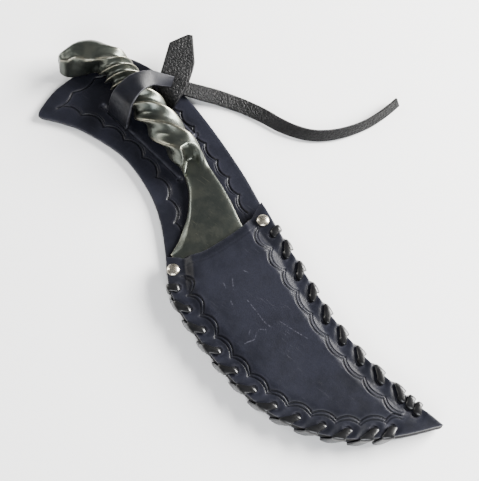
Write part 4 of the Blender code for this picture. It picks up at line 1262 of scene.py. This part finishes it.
# The free tail's route, over the surface that the sheath lies on, in metres
TAIL_ROUTE = [tuple((np.array(point) - DESIGN_ZERO) * MM) for point in (
    (-98.6, 62.6, 9.3), (-95.0, 64.7, 8.4), (-90.0, 67.5, 6.9), (-84.0, 70.9, 5.0),
    (-76.0, 75.0, 3.3), (-64.2, 79.2, 2.4), (-55.0, 81.3, 2.3), (-45.8, 82.7, 2.3),
    (-36.0, 83.6, 2.3), (-26.7, 85.6, 2.3), (-18.0, 89.0, 2.3), (-10.5, 94.2, 2.3),
    (-3.5, 101.6, 2.3), (2.2, 110.4, 2.3), (5.8, 118.0, 2.3), (8.3, 126.0, 2.3),
    (9.9, 133.5, 2.3), (11.0, 141.0, 2.3))]


def build_tail():
    """The free tail: a flat strip that narrows and turns up on its edge in its bend."""
    route = Line(smooth(np.array(TAIL_ROUTE) / MM, 6))
    marks = np.linspace(0, route.length, 150)
    share = marks / route.length
    width = np.interp(share, (0, 0.12, 0.45, 0.62, 1.0), (9.0, 9.8, 8.4, 7.4, 6.4))
    thick = np.interp(share, (0, 0.5, 1.0), (2.0, 1.9, 1.7))
    lean = np.radians(np.interp(share, (0, 0.3, 0.6, 0.8, 1.0), (0, 6, 52, 66, 62)))
    centres = route.at(marks)
    rest = width / 2 * np.sin(lean) + thick / 2 * np.cos(lean) + 0.1
    centres[:, 2] = np.maximum(centres[:, 2] - 1.0, rest)
    run = route.heading(marks, 2.0)
    level = np.cross(run, UP)
    level /= np.linalg.norm(level, axis=1, keepdims=True)
    across = level * np.cos(lean)[:, None] + np.outer(-np.sin(lean), UP)
    sections = [flat_section(w, t, 0.45) for w, t in zip(width, thick)]
    rings = np.array(strip_rings(centres, across, sections))
    points, faces = loft(rings)
    points = np.array([p + np.array([0, 0, rough(p, 0.9, 0.12)]) for p in points])
    points[:, 2] = np.maximum(points[:, 2], 0.02)
    tail = piece("tail_strip", points, facing_out(points, faces), FINISH["flesh_leather"], "keeper",
                 ["keeper_tail"])
    return tail


def build_strap():
    rows = smooth([(*placed(c), *a, w, t) for c, a, w, t in STRAP], 12)
    sections = []
    for row in rows:
        section = flat_section(row[6], row[7], 0.5, 3)
        sections.append(section)
    rings = np.array(strip_rings(rows[:, :3], rows[:, 3:6], sections))
    points, faces = loft(rings)
    # The strap's sides are marked for the lighter edge tone: painted highlight with some edge wear.
    edge = np.tile(np.abs(sections[0][:, 0]) > sections[0][:, 0].max() - 0.3, len(rings)).astype(float)
    inner = np.tile(sections[0][:, 1] > 0.4, len(rings)).astype(float)
    marks = {"edge": np.append(edge, [1, 1]), "flesh": np.append(inner, [1, 1])}
    strap = piece("keeper_band", points, facing_out(points, faces), FINISH["keeper_leather"], None,
                  ["keeper_strap"], marks)
    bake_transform(strap)
    return strap


def build_tag():
    """The tag: a rough strip with a slantwise cut end, standing in the upper slit."""
    left, right = placed(TAG_LEFT), placed(TAG_RIGHT)
    lefts, rights = [], []
    for a, b in ((0, 5), (5, 6)):
        samples = 9 if a == 0 else 14
        chosen_l = smooth(left[a:b + 1], samples) if a == 0 else np.linspace(left[a], left[b], samples)[1:]
        chosen_r = smooth(right[a:b + 1], samples) if a == 0 else np.linspace(right[a], right[b], samples)[1:]
        lefts.append(chosen_l)
        rights.append(chosen_r)
    lefts, rights = np.concatenate(lefts), np.concatenate(rights)
    middle = (lefts + rights) / 2
    along = np.gradient(middle, axis=0)
    face = np.cross(rights - lefts, along)
    face /= np.linalg.norm(face, axis=1, keepdims=True)
    face *= np.where(face[:, 2:3] < 0, -1, 1)
    columns = np.concatenate([[0, 0.02, 0.05], np.linspace(0.1, 0.9, 17), [0.95, 0.98, 1.0]])
    rings = []
    for l, r, f in zip(lefts, rights, face):
        width = np.linalg.norm(r - l)
        inset = np.minimum(columns, 1 - columns) * width
        half = TAG_THICK / 2 - rounding(inset, 0.6)
        top = l + np.outer(columns, r - l) + np.outer(half, f)
        low = l + np.outer(columns, r - l) - np.outer(half, f)
        rings.append(np.concatenate([top, low[::-1]]))
    points, faces = loft(rings)
    points = np.array([p + np.array([0, 0, rough(p, 0.8, 0.22) + rough(p, 0.09, 0.6, 4.0)]) for p in points])
    return piece("keeper_tab", points, facing_out(points, faces), FINISH["flesh_leather"], "keeper",
                 ["keeper_tag"])


def build_anchor():
    """The strap's thinned end, down through the lower slit and forward behind the panel."""
    x, y = placed(STRAP[0][0])[:2]
    run = (SLITS[0][SLITS[0][:, 0].argmax()] - SLITS[0][SLITS[0][:, 0].argmin()])
    run /= np.linalg.norm(run)
    forward = np.array([-run[1], run[0]])
    rows = [(BACK_TOP - 0.1, 0.0, 2.4), (BACK_LOW + 0.6, 0.0, 2.4), (1.5, 0.5, 1.3), (0.75, 1.6, 1.2),
            (0.62, 3.5, 1.2), (0.62, 12.0, 1.2), (0.62, 20.0, 1.2)]
    rows = smooth(rows, 5)
    centres = [(*(np.array([x, y]) + forward * ahead), level) for level, ahead, _ in rows]
    sections = [flat_section(16.0, thick, 0.4) for _, _, thick in rows]
    rings = np.array(strip_rings(centres, [flat3(run)] * len(rows), sections))
    points, faces = loft(rings)
    points[:, 2] = np.maximum(points[:, 2], 0.0)
    return piece("keeper_root", points, facing_out(points, faces), FINISH["keeper_leather"], "sheath",
                 ["keeper_anchor"])


# ---------------------------------------------------------------- floor and light

def plain_finish(name, colour, roughness):
    return new_finish(name, Base_Color=colour, Roughness=roughness, Specular_IOR_Level=0.2)[0]


FLOOR_REACH = 6.0
FLOOR_LEVEL = -0.0002


def make_floor():
    mesh = bpy.data.meshes.new("floor")
    reach, level = FLOOR_REACH, FLOOR_LEVEL
    mesh.from_pydata([(-reach, -reach, level), (reach, -reach, level), (reach, reach, level),
                      (-reach, reach, level)],
                     [], [(0, 1, 2, 3)])
    mesh.materials.append(plain_finish("pale floor", (0.92, 0.92, 0.92, 1.0), 0.9))
    floor = bpy.data.objects.new("floor", mesh)
    bpy.context.scene.collection.objects.link(floor)


def make_light(name, place, target, size, power, colour):
    data = bpy.data.lights.new(name, "AREA")
    data.shape = "RECTANGLE"
    data.size, data.size_y = size
    data.energy = power
    data.color = colour
    lamp = bpy.data.objects.new(name, data)
    bpy.context.scene.collection.objects.link(lamp)
    aim(lamp, place, target)


def in_view(right, up, height):
    """A place given by how far it lies to the picture's right and top, over the floor."""
    turn = math.radians(CAMERA_AZIMUTH)
    return (right * math.cos(turn) - up * math.sin(turn), right * math.sin(turn) + up * math.cos(turn),
            height)


LAMPS = [
    ("key", in_view(1.15, 0.45, 0.72), (0.9, 0.9), 150.0, (1.0, 0.985, 0.96)),
    ("left strip", in_view(-1.0, 0.5, 0.6), (0.3, 0.8), 9.0, (1.0, 0.97, 0.92)),
    ("front fill", in_view(0.0, -1.1, 0.9), (1.0, 0.6), 24.0, (0.95, 0.97, 1.0)),
]


def make_world():
    """An even studio: pale towards the horizon and dim overhead, so that gloss keeps its depth."""
    world = bpy.data.worlds.new("studio")
    world.use_nodes = True
    tree = world.node_tree
    up = node(tree, "ShaderNodeSeparateXYZ")
    tree.links.new(node(tree, "ShaderNodeTexCoord").outputs["Generated"], up.inputs[0])
    shade = mixed(tree, ramp(tree, up.outputs["Z"], 0.0, 0.42), (0.92, 0.93, 0.94, 1.0),
                  (0.22, 0.225, 0.235, 1.0))
    tree.links.new(shade, tree.nodes["Background"].inputs["Color"])
    bpy.context.scene.world = world


build_tail()
build_panels()
whip_lace("lower")
whip_lace("upper")
build_rivets()
build_knife()
build_strap()
build_tag()
build_anchor()
make_floor()
for title, place, size, power, colour in LAMPS:
    make_light(title, place, (0.0, 0.0, 0.0), size, power, colour)
make_world()
